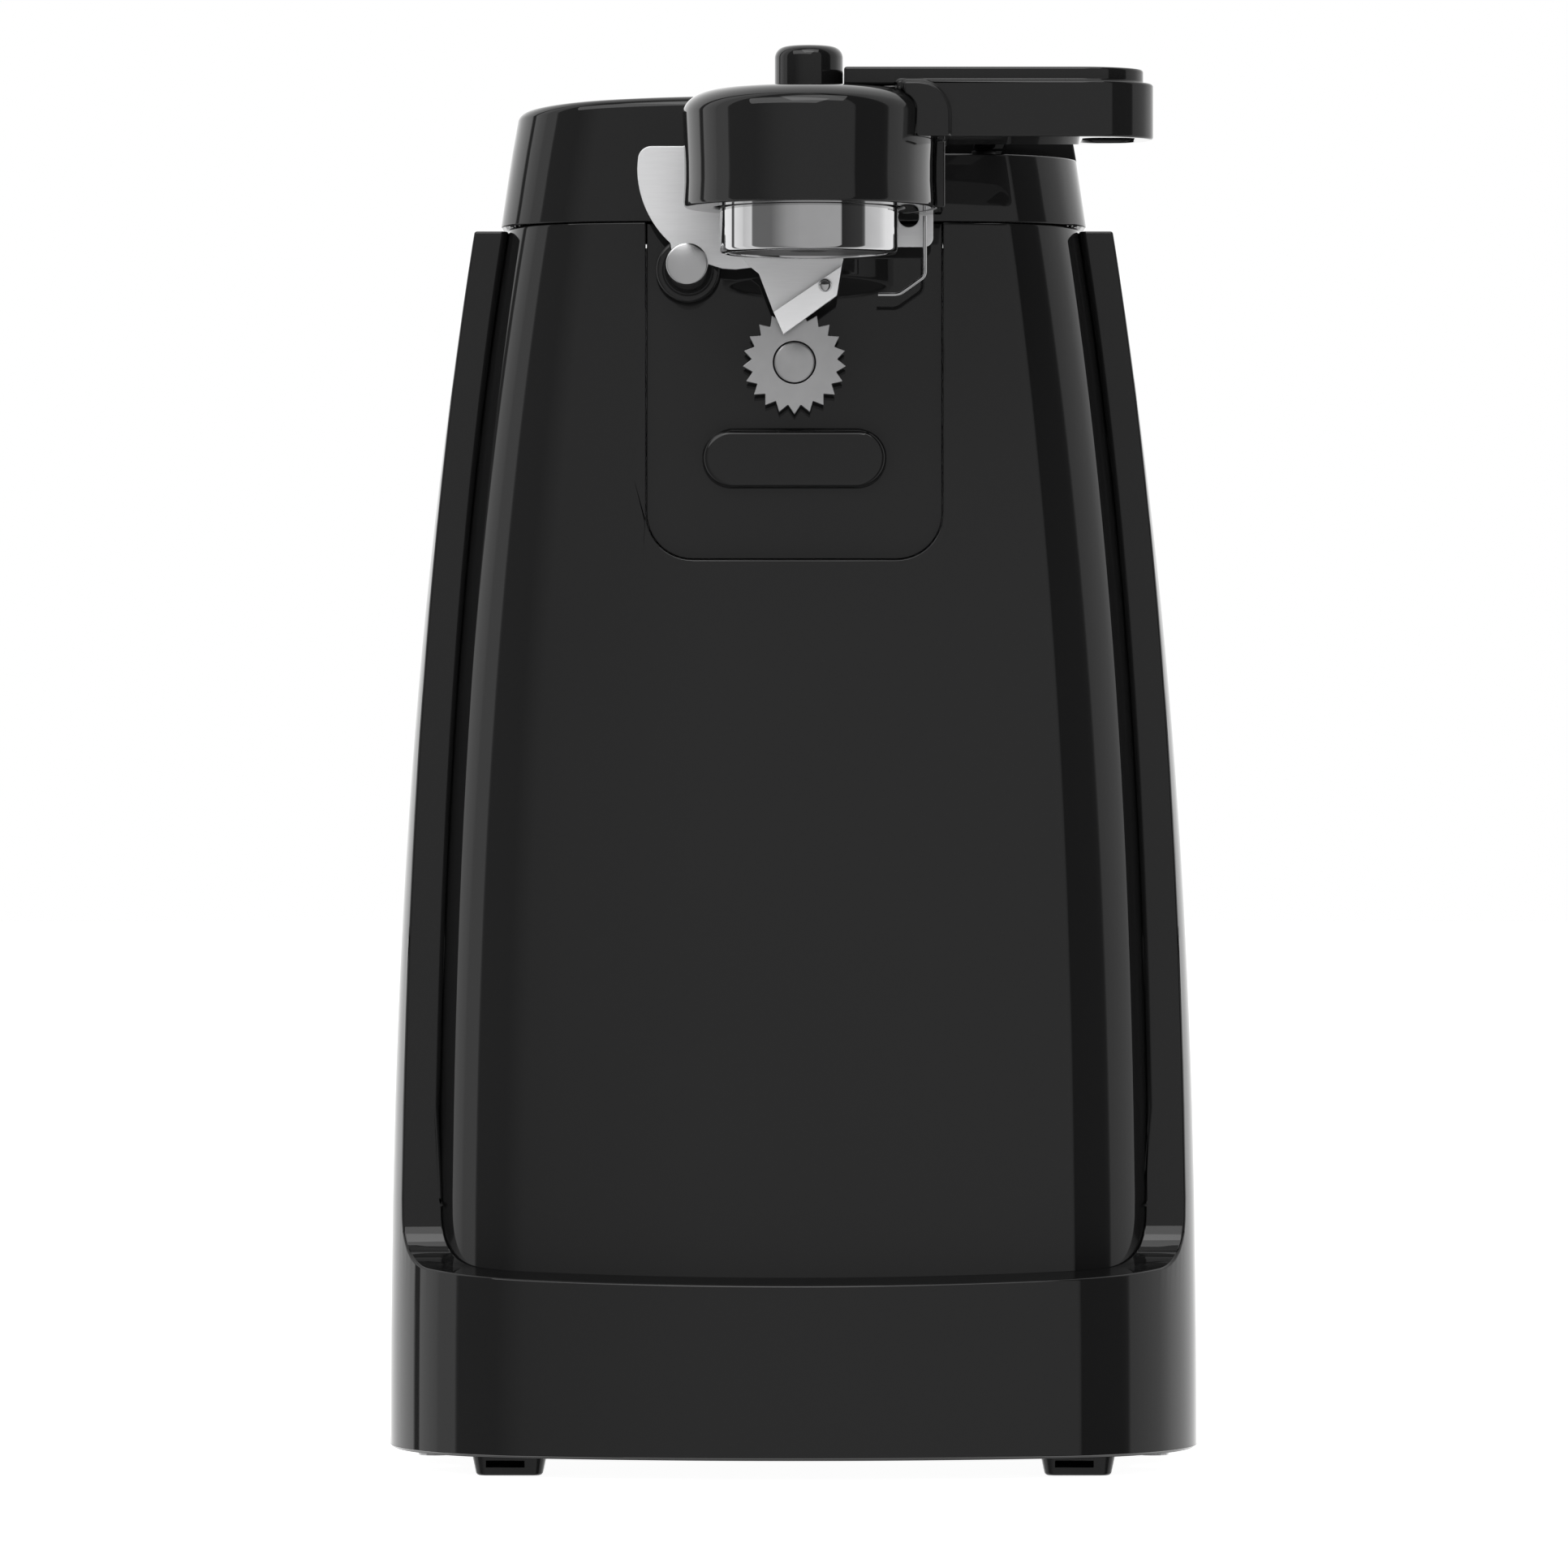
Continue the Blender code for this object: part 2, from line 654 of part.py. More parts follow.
def make_top_cap():
    """Cap that closes the top, with the lowered shelf at its front right corner."""
    levels = [(z, cap_ring(z, 0.0)) for z in (CAP_BOTTOM, 213.0, CAP_TOP - 2.0)]
    levels += [(CAP_TOP - drop, cap_ring(CAP_TOP, inset))
               for drop, inset in ((0.9, 0.35), (0.3, 1.0), (0.0, 2.2))]
    cap = loft("top_cap", levels, "black_plastic")
    inner = loft("cap_hollow_cutter", [(CAP_BOTTOM - 5, cap_ring(CAP_BOTTOM, SHELL_WALL)),
                                       (CAP_TOP - SHELL_WALL, cap_ring(CAP_TOP, SHELL_WALL))],
                 None)
    keep_low = (SHELF_LEFT - SHELL_WALL, -60.0, SHELF_TOP - SHELL_WALL)
    keep_high = (CAP_HALF_WIDTH + 20, SHELF_BACK + SHELL_WALL, CAP_TOP + 5)
    cut(inner, box("cap_shelf_floor_cutter", keep_low, keep_high, None))
    shelf = box("cap_shelf_cutter", (SHELF_LEFT, -70.0, SHELF_TOP),
                (CAP_HALF_WIDTH + 30, SHELF_BACK, CAP_TOP + 15), None)
    hole = bar_z("plunger_hole_cutter", PLUNGER_RADIUS + 0.4, (SHELF_TOP - 8, SHELF_TOP + 8),
                 PLUNGER_X, PLUNGER_Y, None)
    return cut(cap, inner, shelf, hole)


def make_bottom_cover():
    """Flat cover let into the base, held by four screws."""
    ring = housing_ring(BASE_BOTTOM, HOUSING_WALL + GAP)
    cover = loft("bottom_cover", [(COVER_Z[0], ring), (COVER_Z[1], ring)], "matte_plastic")
    for i, (x, y) in enumerate(BASE_SCREWS):
        hole = bar_z(f"cover_hole_{i + 1}", 1.8, (0.0, 12.0), x, y, None, 12)
        cut(cover, hole)
        profile = [(0, 14.0), (1.5, 14.0), (1.5, COVER_Z[0] - GAP), (2.8, COVER_Z[0] - GAP),
                   (2.8, 1.9), (0, 1.9)]
        turned(f"base_screw_{i + 1}", profile, "zinc_steel", (x, y, 0), UPRIGHT, 12)


def make_feet():
    """Four round feet with a hollow underside."""
    top = COVER_Z[0] - GAP
    for place, (x, y) in FEET.items():
        profile = [(0, top), (FOOT_RADIUS, top), (FOOT_RADIUS, 0.6), (FOOT_RADIUS - 0.5, 0),
                   (FOOT_RADIUS - 2.0, 0), (FOOT_RADIUS - 2.0, 1.2), (0, 1.2)]
        turned(f"foot_{place}", profile, "rubber", (x, y, 0), UPRIGHT, 16)


def make_cord_inlet():
    """Grommet in the back wall where a mains cord would come out."""
    outside = BASE_BACK + GAP
    inside = BASE_BACK - HOUSING_WALL - GAP
    profile = [(3.0, 63.2), (5.4, 63.2), (6.0, 62.6), (6.0, outside), (4.5, outside),
               (4.5, inside), (6.0, inside), (6.0, inside - 1.8), (3.0, inside - 1.8)]
    turned("cord_inlet", profile, "rubber", (INLET_X, 0, INLET_Z),
           (-math.pi / 2, 0.0, 0.0), 16)


# ---------------------------------------------------------------- mechanism frame

def plate_outline(bottom, top):
    """A bearing plate's outline, as (x, z)."""
    return round_rectangle((-PLATE_HALF_WIDTH, bottom), (PLATE_HALF_WIDTH, top), 4.0)


def make_gear_plate():
    """Steel plate behind the panel that carries the shafts, screwed to the front shell."""
    holes = [circle((DRIVE_X, DRIVE_Z), 5.8, 24), circle((DRIVE_X, IDLER_Z), 1.8, 12),
             circle((PIVOT_X, PIVOT_Z), PIN_SHAFT_RADIUS + 0.2, 12)]
    holes += [circle(place, 1.8, 12) for place in BOSSES]
    plate_xz("gear_plate", [plate_outline(112.0, 201.5)] + holes, GEAR_PLATE, "zinc_steel")
    for i, (x, z) in enumerate(BOSSES):
        back = GEAR_PLATE[1] + GAP
        tip = -GEAR_PLATE[0] + 3.5
        profile = [(0, tip), (1.4, tip), (1.4, -back), (3.0, -back), (3.0, -back - 1.8),
                   (0, -back - 1.8)]
        turned(f"plate_screw_{i + 1}", profile, "zinc_steel", (x, 0, z), FACE_FRONT, 12)
    for i, (x, z) in enumerate(POSTS):
        bar_y(f"motor_post_{i + 1}", POST_RADIUS, (GEAR_PLATE[1] + 0.1, MOTOR_PLATE[0] - 0.1),
              x, z, "zinc_steel", 12)
    tube("drive_bush", SHAFT_RADIUS + 0.2, 5.6, (6.9, 11.8), DRIVE_X, 0, DRIVE_Z, "bronze",
         FACE_FRONT)


def make_motor_frame():
    """Front and rear plates of the motor, with the rotor's bearings and two long bolts."""
    holes = [circle((DRIVE_X, ROTOR_Z), 6.0, 24), circle((DRIVE_X, IDLER_Z), 1.8, 12),
             circle((DRIVE_X, DRIVE_Z), 2.7, 16)]
    holes += [circle(place, 2.0, 12) for place in MOTOR_BOLTS]
    plate_xz("motor_front_plate", [plate_outline(108.0, 190.0)] + holes, MOTOR_PLATE,
             "zinc_steel")
    rear_holes = [circle((DRIVE_X, ROTOR_Z), 6.0, 24)]
    rear_holes += [circle(place, 2.0, 12) for place in MOTOR_BOLTS]
    plate_xz("motor_rear_plate", [plate_outline(108.0, 164.0)] + rear_holes, REAR_PLATE,
             "zinc_steel")
    for name, span in (("front_bearing", (6.5, 11.5)), ("rear_bearing", (40.5, 45.0))):
        tube(name, ROTOR_SHAFT_RADIUS + 0.15, 5.8, (-span[1], -span[0]), DRIVE_X, 0, ROTOR_Z,
             "bronze", FACE_FRONT)
    for i, (x, z) in enumerate(MOTOR_BOLTS):
        head = MOTOR_PLATE[0] - GAP
        profile = [(0, 2.0 - head), (3.0, 2.0 - head), (3.0, -head), (1.7, -head),
                   (1.7, -REAR_PLATE[1] - 3), (0, -REAR_PLATE[1] - 3)]
        turned(f"motor_bolt_{i + 1}", profile, "zinc_steel", (x, 0, z), FACE_FRONT, 12)


def make_stator():
    """Laminated core with a round bore, and the winding on its lower leg."""
    low, high = (-STATOR_HALF_WIDTH, STATOR_Z[0]), (STATOR_HALF_WIDTH, STATOR_Z[1])
    outline = [low, (high[0], low[1]), high, (low[0], high[1])]
    window = [(-WINDOW_HALF_WIDTH, WINDOW_Z[0]), (WINDOW_HALF_WIDTH, WINDOW_Z[0]),
              (WINDOW_HALF_WIDTH, WINDOW_Z[1]), (-WINDOW_HALF_WIDTH, WINDOW_Z[1])]
    holes = [window, circle((DRIVE_X, ROTOR_Z), STATOR_BORE, 24)]
    holes += [circle(place, 2.0, 12) for place in MOTOR_BOLTS]
    plate_xz("stator_core", [outline] + holes, STATOR, "lamination")

    leg = (STATOR[0] - GAP, STATOR_Z[0] - GAP, STATOR[1] + GAP, WINDOW_Z[0] + GAP)
    thick = 6.0
    outer = round_rectangle((leg[0] - thick, leg[1] - thick),
                            (leg[2] + thick, leg[3] + thick), 4.0)
    inner = [(leg[0], leg[1]), (leg[2], leg[1]), (leg[2], leg[3]), (leg[0], leg[3])]
    turn = (math.pi / 2, 0.0, math.pi / 2)
    plate("field_coil", [outer, inner], 2 * WINDOW_HALF_WIDTH - 3, "copper", (0, 0, 0), turn)


# ---------------------------------------------------------------- moving bodies

def axis_empty(name, x, y, z):
    """An empty on a joint's axis, to carry a moving body."""
    empty = bpy.data.objects.new(name, None)
    PARTS.objects.link(empty)
    empty.location = (x * MM, y * MM, z * MM)
    return empty


def ride(empty, *objects):
    """Parent the pieces to an empty and leave them where they are."""
    for obj in objects:
        obj.parent = empty
        obj.matrix_parent_inverse = Matrix.Translation(empty.location).inverted()


def make_drive():
    """Toothed wheel, its shaft, and the large output gear behind the plate."""
    wheel_y = WHEEL_FRONT + WHEEL_THICKNESS / 2
    wheel = plate("drive_wheel", [pointed_outline(WHEEL_TEETH, WHEEL_TIP, WHEEL_ROOT),
                                  circle((0, 0), SHAFT_RADIUS + 0.1, 24)],
                  WHEEL_THICKNESS, "satin_steel", (DRIVE_X, wheel_y, DRIVE_Z), FACE_FRONT)
    thin = 2.4
    profile = [(0, -WHEEL_FRONT), (SHAFT_RADIUS, -WHEEL_FRONT), (SHAFT_RADIUS, 0.0),
               (thin, 0.0), (thin, -MOTOR_PLATE[1] - 1), (0, -MOTOR_PLATE[1] - 1)]
    shaft = turned("drive_shaft", profile, "satin_steel", (DRIVE_X, 0, DRIVE_Z), FACE_FRONT, 24)
    middle = sum(GEAR_PLANE_A) / 2
    gear = plate("output_gear", [gear_outline(OUTPUT_TEETH, -math.pi / 2),
                                 circle((0, 0), SHAFT_RADIUS + 0.1, 24)],
                 GEAR_PLANE_A[1] - GEAR_PLANE_A[0], "zinc_steel",
                 (DRIVE_X, middle, DRIVE_Z), FACE_FRONT)
    clip = tube("shaft_clip", thin + 0.1, 4.8, (-1.0, -0.2), DRIVE_X, 0, DRIVE_Z,
                "zinc_steel", FACE_FRONT, 16)
    ride(axis_empty("drive_axis", DRIVE_X, wheel_y, DRIVE_Z), wheel, shaft, gear, clip)


def make_idler():
    """Compound gear: a pinion that drives the output gear, and a large gear behind it."""
    axle_radius = 1.7
    pinion_phase = math.pi / 2 + math.pi / PINION_TEETH
    large = plate("idler_gear", [gear_outline(IDLER_TEETH, -math.pi / 2)],
                  GEAR_PLANE_B[1] - GEAR_PLANE_B[0], "nylon",
                  (DRIVE_X, sum(GEAR_PLANE_B) / 2, IDLER_Z), FACE_FRONT)
    span = (GEAR_PLANE_A[0] + 0.3, GEAR_PLANE_B[0] + 1.0)
    pinion = plate("idler_pinion_guide", [gear_outline(PINION_TEETH, pinion_phase)],
                   span[1] - span[0], None, (DRIVE_X, sum(span) / 2, IDLER_Z), FACE_FRONT)
    join(large, pinion)
    cut(large, bar_y("idler_bore_cutter", axle_radius + 0.15, (-15, 15), DRIVE_X, IDLER_Z,
                     None, 16))
    bar_y("idler_axle", axle_radius, (GEAR_PLATE[0] - 0.5, MOTOR_PLATE[1] + 0.5), DRIVE_X,
          IDLER_Z, "satin_steel", 16)
    ride(axis_empty("idler_axis", DRIVE_X, 0, IDLER_Z), large)


def make_rotor():
    """Motor rotor, its shaft with the pinion cut on it, and the cooling fan."""
    phase = math.pi / 2 + math.pi / PINION_TEETH
    profile = [(0, -6.0), (ROTOR_SHAFT_RADIUS, -6.0), (ROTOR_SHAFT_RADIUS, -53.0), (0, -53.0)]
    shaft = turned("rotor_shaft", profile, "satin_steel", (DRIVE_X, 0, ROTOR_Z), FACE_FRONT, 24)
    span = (GEAR_PLANE_B[0] - 0.2, 6.2)
    pinion = plate("rotor_pinion_guide", [gear_outline(PINION_TEETH, phase)],
                   span[1] - span[0], None, (DRIVE_X, sum(span) / 2, ROTOR_Z), FACE_FRONT)
    join(shaft, pinion)
    core = tube("rotor_core", ROTOR_SHAFT_RADIUS + 0.1, ROTOR_RADIUS,
                (-STATOR[1], -STATOR[0]), DRIVE_X, 0, ROTOR_Z, "lamination", FACE_FRONT)
    blades, hub, tip = 8, 7.0, 19.0
    outline = []
    for i in range(blades):
        middle = 2 * math.pi * i / blades
        for radius, half in ((hub, 1.2 / hub), (tip, 1.2 / tip)):
            outline.append((radius, middle - half))
        for radius, half in ((tip, 1.2 / tip), (hub, 1.2 / hub)):
            outline.append((radius, middle + half))
    outline = [(r * math.cos(a), r * math.sin(a)) for r, a in outline]
    fan = plate("cooling_fan", [outline, circle((0, 0), ROTOR_SHAFT_RADIUS + 0.1, 24)],
                6.0, "matte_plastic", (DRIVE_X, 49.3, ROTOR_Z), FACE_FRONT)
    ride(axis_empty("rotor_axis", DRIVE_X, 0, ROTOR_Z), shaft, core, fan)


def make_pivot():
    """Chrome pin that the lever swings on, and its round seat on the panel."""
    plate_back = GEAR_PLATE[1]
    profile = [(0, -PIN_FRONT), (PIN_HEAD_RADIUS - 0.4, -PIN_FRONT),
               (PIN_HEAD_RADIUS, -PIN_FRONT - 0.4), (PIN_HEAD_RADIUS, -PIN_FRONT - 4.0),
               (2.6, -PIN_FRONT - 4.0), (2.6, -PLATE_FACE + GAP),
               (PIN_SHAFT_RADIUS, -PLATE_FACE + GAP), (PIN_SHAFT_RADIUS, -plate_back),
               (0, -plate_back)]
    turned("pivot_pin", profile, "chrome", (PIVOT_X, 0, PIVOT_Z), FACE_FRONT, 24)
    tube("pivot_seat", PIN_SHAFT_RADIUS + 0.2, 5.3, (16.4, 20.0), PIVOT_X, 0, PIVOT_Z,
         "black_plastic", FACE_FRONT)


def cutter_plate_outline():
    """Steel carrier plate: a finger at the left, an ear round the pin, a tail at the right."""
    top, right = 217.2, 22.7
    outline = arc((20.7, top - 2), 2.0, 0, 90, 3)
    outline += arc((-23.2, top - 2.2), 2.2, 90, 180, 3)
    outline += arc((-9.1, 213.6), 16.4, 180, 228, 5)
    outline += arc((PIVOT_X, PIVOT_Z), 2.8, 150, 370, 8)
    outline += [(-13.9, 198.0), (-11.7, 197.3), (-9.5, 197.15), (-7.3, 197.4), (5.0, 198.6),
                (8.5, 200.8)]
    outline += arc((right - 1.5, 202.3), 1.5, 270, 360, 3)
    return outline


def make_cutter():
    """Plate, blade carrier, blade and rivet, all flat pieces stacked towards the front."""
    back = PLATE_FACE + PLATE_THICKNESS
    holes = [circle((PIVOT_X, PIVOT_Z), PIN_SHAFT_RADIUS + 0.25, 16),
             circle((18.7, 205.7), 1.7, 16)]
    holes += [circle(place, 1.5, 12) for place in LEVER_SCREWS]
    cutter = plate_xz("cutter_plate", [cutter_plate_outline()] + holes, (PLATE_FACE, back),
                      "satin_steel")
    carrier_span = (PLATE_FACE - 1.2, PLATE_FACE - 0.2)
    outline = [(8.2, 205.6), (-8.6, 205.6), (-8.6, 199.3), (-7.1, 197.5), (-5.7, 196.4),
               (-3.3, 190.1), (-1.7, 186.5), (7.0, 192.8), (7.8, 197.6), (8.2, 199.6)]
    rivet = (5.1, 194.4)
    carrier = plate_xz("blade_carrier", [outline, circle(rivet, 0.9, 12)], carrier_span,
                       "satin_steel")
    blade_span = (carrier_span[0] - 1.1, carrier_span[0] - 0.2)
    outline = [(-3.3, 190.1), (-1.7, 186.5), (7.0, 192.8), (7.8, 197.6)]
    blade = plate_xz("cutting_blade", [outline, circle(rivet, 0.9, 12)], blade_span,
                     "satin_steel")
    front = -blade_span[0] + 0.2
    profile = [(0, front + 0.5), (0.7, front + 0.45), (1.1, front), (0.7, front),
               (0.7, -PLATE_FACE), (1.3, -PLATE_FACE), (1.3, -PLATE_FACE - 0.7),
               (0, -PLATE_FACE - 0.7)]
    pin = turned("blade_rivet", profile, "chrome", (rivet[0], 0, rivet[1]), FACE_FRONT, 12)
    return cutter, carrier, blade, pin


def make_magnet_housing():
    """Round black housing over the magnet, flat at the back where the plate is fixed."""
    well, boss = KNOB_RADIUS + 0.4, KNOB_RADIUS + 2.1
    profile = [(STEM_RADIUS + 0.3, 217.5), (well, 217.5), (well, DOME_TOP), (12.5, DOME_TOP),
               (16.0, 224.7), (18.2, 223.9), (19.6, 222.7), (DOME_RADIUS, 221.0),
               (DOME_RADIUS, DOME_BOTTOM), (15.2, DOME_BOTTOM), (15.2, 221.4), (boss, 221.4),
               (boss, 215.2), (STEM_RADIUS + 0.3, 215.2)]
    dome = turned("magnet_housing", profile, "black_plastic", (DOME_X, DOME_Y, 0), UPRIGHT, 24)
    back = box("dome_back_cutter", (-40, DOME_BACK, 190), (40, -5, 240), None)
    screw = bar_y("dome_screw_cutter", 1.4, (LEVER_SCREW_TIPS[0] - 0.4, DOME_BACK + 5),
                  *LEVER_SCREWS[0], None, 12)
    return cut(dome, back, screw)


def arm_outline(left, inset):
    """The arm's plan: square where it starts over the round housing, rounded at its far end."""
    reach, length = ARM_HALF_DEPTH - inset, ARM_END - inset
    centre = ARM_RIGHT - ARM_END
    end = [(centre + length * x, ARM_Y + reach * y) for x, y in arc((0, 0), 1.0, -90, 90, 10)]
    return [(left, ARM_Y + reach), (left, ARM_Y - reach)] + end


def make_lever_handle():
    """Press handle: a thick arm with a raised top, and a tab that reaches the switch."""
    handle = plate("lever_handle", [arm_outline(ARM_LEFT, 0.0)], ARM_Z[1] - ARM_Z[0],
                   "black_plastic", (0, 0, sum(ARM_Z) / 2))
    rim_span = (225.2, RIM_TOP)
    rim_guide = plate("handle_rim_guide", [arm_outline(ARM_LEFT, RIM_INSET)],
                      rim_span[1] - rim_span[0], None, (0, 0, sum(rim_span) / 2))
    top, corner = ARM_Z[1] - 0.4, HUB_CORNER
    hub = [(17.5, top), (17.5, ARM_Z[0]), (HUB_RIGHT, ARM_Z[0])]
    hub += arc((HUB_RIGHT - corner, top - corner), corner, 0, 90, 5)
    hub_guide = plate_xz("handle_hub_guide", [hub], (HUB_FRONT, DOME_BACK), None)
    side_wall = box("handle_wall_guide", (17.5, ARM_Y, DOME_BOTTOM), (24.3, DOME_BACK, 220.0),
                    None)
    tab = box("handle_tab_guide", (TAB_X[0], ARM_Y, TAB_Z[0]), (TAB_X[1], 1.5, TAB_Z[1]), None)
    clearance = bar_z("handle_dome_cutter", DOME_RADIUS + 0.4, (190, 225.1), DOME_X, DOME_Y,
                      None, 32)
    screw = bar_y("handle_screw_cutter", 1.4, (LEVER_SCREW_TIPS[1] - 0.8, DOME_BACK + 5),
                  *LEVER_SCREWS[1], None, 12)
    well = bar_z("handle_knob_cutter", KNOB_RADIUS + 0.6, (190, 240), DOME_X, DOME_Y, None, 24)
    hollow = round_rectangle((46.5, ARM_Y - 6.0), (54.6, ARM_Y + 6.0), 2.5)
    underside = plate("handle_hollow_cutter", [hollow], 8.0, None,
                      (0, 0, ARM_Z[0] + 4.0 - 2.0))
    join(handle, rim_guide, hub_guide, side_wall, tab)
    return cut(handle, underside, clearance, screw, well)


def make_lid_guide_wire():
    """Bent wire beside the magnet that keeps the lid level."""
    y = -27.6
    points = [(21.3, y, 205.7), (21.3, y, 195.9), (17.1, y, 192.9), (13.7, y, 192.9)]
    return wire("lid_guide_wire", points, 0.33, "chrome")


def make_lever_screws():
    """Two screws through the plate, one into the round housing and one into the handle."""
    back = -(PLATE_FACE + PLATE_THICKNESS + 0.2)
    screws = []
    for i, ((x, z), tip) in enumerate(zip(LEVER_SCREWS, LEVER_SCREW_TIPS)):
        profile = [(0, -tip), (1.1, -tip), (1.1, back), (2.4, back), (2.4, back - 1.4),
                   (0, back - 1.4)]
        screws.append(turned(f"lever_screw_{i + 1}", profile, "zinc_steel", (x, 0, z),
                             FACE_FRONT, 12))
    return screws


def make_spring(name, radius, low, high, turns, x, y):
    """A compression spring standing between two heights."""
    wire_radius, per_turn = 0.3, 10
    count = int(turns * per_turn)
    low, high = low + wire_radius, high - wire_radius
    points = []
    for i in range(count + 1):
        angle = 2 * math.pi * i / per_turn
        points.append((radius * math.cos(angle), radius * math.sin(angle),
                       low + (high - low) * i / count))
    return wire(name, points, wire_radius, "satin_steel", (x, y, 0))


def make_magnet():
    """Knob, stem, chrome cup and magnet, which slide down together against a spring."""
    low, high = MAGNET_Z
    at = (DOME_X, DOME_Y, 0)
    bore = STEM_RADIUS + 0.1
    cup_profile = [(bore, high), (MAGNET_RADIUS - 0.8, high), (MAGNET_RADIUS, high - 0.8),
                   (MAGNET_RADIUS, low + 0.5), (MAGNET_RADIUS - 0.5, low),
                   (MAGNET_RADIUS - 1.4, low), (MAGNET_RADIUS - 1.4, high - 1.4),
                   (bore, high - 1.4)]
    cup = turned("lid_magnet_cup", cup_profile, "chrome", at, UPRIGHT, 24)
    disc = tube("magnet_disc", 3.0, MAGNET_RADIUS - 1.7, (low + 0.4, high - 1.8), *at, "magnet")
    profile = [(0, 229.6), (STEM_RADIUS, 229.6), (STEM_RADIUS, high - 1.8),
               (STEM_RADIUS + 1.0, high - 1.8), (STEM_RADIUS + 1.0, high - 2.8),
               (0, high - 2.8)]
    stem = turned("magnet_stem", profile, "satin_steel", at, UPRIGHT, 16)
    seat = 228.2
    profile = [(0, KNOB_TOP), (3.4, KNOB_TOP - 0.05), (4.7, KNOB_TOP - 0.7),
               (KNOB_RADIUS, KNOB_TOP - 2.2), (KNOB_RADIUS, KNOB_BOTTOM), (4.3, KNOB_BOTTOM),
               (4.3, seat), (STEM_RADIUS + 0.1, seat), (STEM_RADIUS + 0.1, 229.9), (0, 229.9)]
    knob = turned("magnet_knob", profile, "black_plastic", at, UPRIGHT, 24)
    ride(axis_empty("magnet_axis", DOME_X, DOME_Y, low), cup, disc, stem, knob)
    return make_spring("magnet_spring", 3.2, 217.8, seat - 0.3, 4, DOME_X, DOME_Y)


def make_lever():
    """The lever body, on an empty at the pivot pin."""
    pieces = [*make_cutter(), make_magnet_housing(), make_lever_handle(),
              make_lid_guide_wire(), *make_lever_screws(), make_magnet()]
    pivot = axis_empty("lever_axis", PIVOT_X, PLATE_FACE, PIVOT_Z)
    ride(pivot, *pieces)
    bpy.data.objects["magnet_axis"].parent = pivot
    inverse = Matrix.Translation(pivot.location).inverted()
    bpy.data.objects["magnet_axis"].matrix_parent_inverse = inverse


def make_switch():
    """Micro switch on the gear plate, with the plunger that the lever presses."""
    x, y = PLUNGER_X, PLUNGER_Y
    low = (x - 7.0, GEAR_PLATE[1] + GAP, 191.5)
    switch = box("switch_body", low, (x + 7.0, y + 6.0, SWITCH_TOP), "matte_plastic")
    cut(switch, bar_z("switch_bore_cutter", 1.8, (SWITCH_TOP - 6, SWITCH_TOP + 6), x, y, None,
                      16))
    profile = [(0, PLUNGER_TOP), (PLUNGER_RADIUS - 0.4, PLUNGER_TOP),
               (PLUNGER_RADIUS, PLUNGER_TOP - 0.4), (PLUNGER_RADIUS, 212.4), (3.4, 212.4),
               (3.4, 211.2), (1.5, 211.2), (1.5, SWITCH_TOP - 3.5), (0, SWITCH_TOP - 3.5)]
    plunger = turned("switch_plunger", profile, "matte_plastic", (x, y, 0), UPRIGHT, 16)
    ride(axis_empty("switch_axis", x, y, PLUNGER_TOP), plunger)
    make_spring("switch_spring", 2.4, SWITCH_TOP + GAP, 211.2 - GAP, 3, x, y)


clear_scene()
PARTS = new_collection(NAME)
CUTTERS = new_collection("cutters")
make_rear_housing()
make_front_shell()
make_mechanism_panel()
make_can_rest_pad()
make_top_cap()
make_bottom_cover()
make_feet()
make_cord_inlet()
make_gear_plate()
make_motor_frame()
make_stator()
make_pivot()
make_drive()
make_idler()
make_rotor()
make_lever()
make_switch()
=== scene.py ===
"""Looks of the electric can opener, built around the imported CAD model."""

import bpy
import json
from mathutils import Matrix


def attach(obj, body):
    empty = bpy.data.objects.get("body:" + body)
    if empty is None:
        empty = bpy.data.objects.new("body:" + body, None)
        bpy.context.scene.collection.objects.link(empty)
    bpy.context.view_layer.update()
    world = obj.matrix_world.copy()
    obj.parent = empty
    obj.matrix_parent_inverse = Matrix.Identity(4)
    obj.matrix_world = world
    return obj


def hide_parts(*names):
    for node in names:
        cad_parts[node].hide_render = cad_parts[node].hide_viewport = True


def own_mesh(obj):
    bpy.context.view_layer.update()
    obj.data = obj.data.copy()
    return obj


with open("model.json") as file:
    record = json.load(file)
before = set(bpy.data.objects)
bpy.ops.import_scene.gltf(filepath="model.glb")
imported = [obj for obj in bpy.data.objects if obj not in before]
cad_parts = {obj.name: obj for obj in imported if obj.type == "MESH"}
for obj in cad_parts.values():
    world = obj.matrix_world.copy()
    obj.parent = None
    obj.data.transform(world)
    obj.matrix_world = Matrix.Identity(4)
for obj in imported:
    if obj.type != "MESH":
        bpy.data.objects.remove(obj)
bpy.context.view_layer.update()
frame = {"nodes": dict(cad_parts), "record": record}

import json
import math

import bmesh
import bpy
from mathutils import Matrix, Vector

MM = 0.001
GAP = 0.3  # room between neighbouring pieces

# All lengths are in millimetres, and most are the CAD's own.
# Outer housing. Its front at the rim, its back, and how far it draws in towards the top.
HALF_WIDTH = 67.0
BASE_FRONT = -30.5
BASE_BACK = 61.2
BASE_BOTTOM = 3.4
WING_TOP = 204.8
WING_FRONT = -6.0
SIDE_DRAW_IN = 14.0
BACK_DRAW_IN = 6.0
TAPER_POWER = 2.4
HOUSING_WALL = 3.0
WING_LIP = 9.5  # depth of solid wall behind the wings' front faces
WING_CHAMFER = 1.2  # width of the slope on the wing's inner front edge
SHOULDER = 6.5
CROWN_RADIUS = 170.0
FRONT_CORNER = 31.0
BACK_CORNER = 30.0
LEDGE_HEIGHT = 31.9
LEDGE_SLOPE = 0.12
LEDGE_DEPTH = 7.7
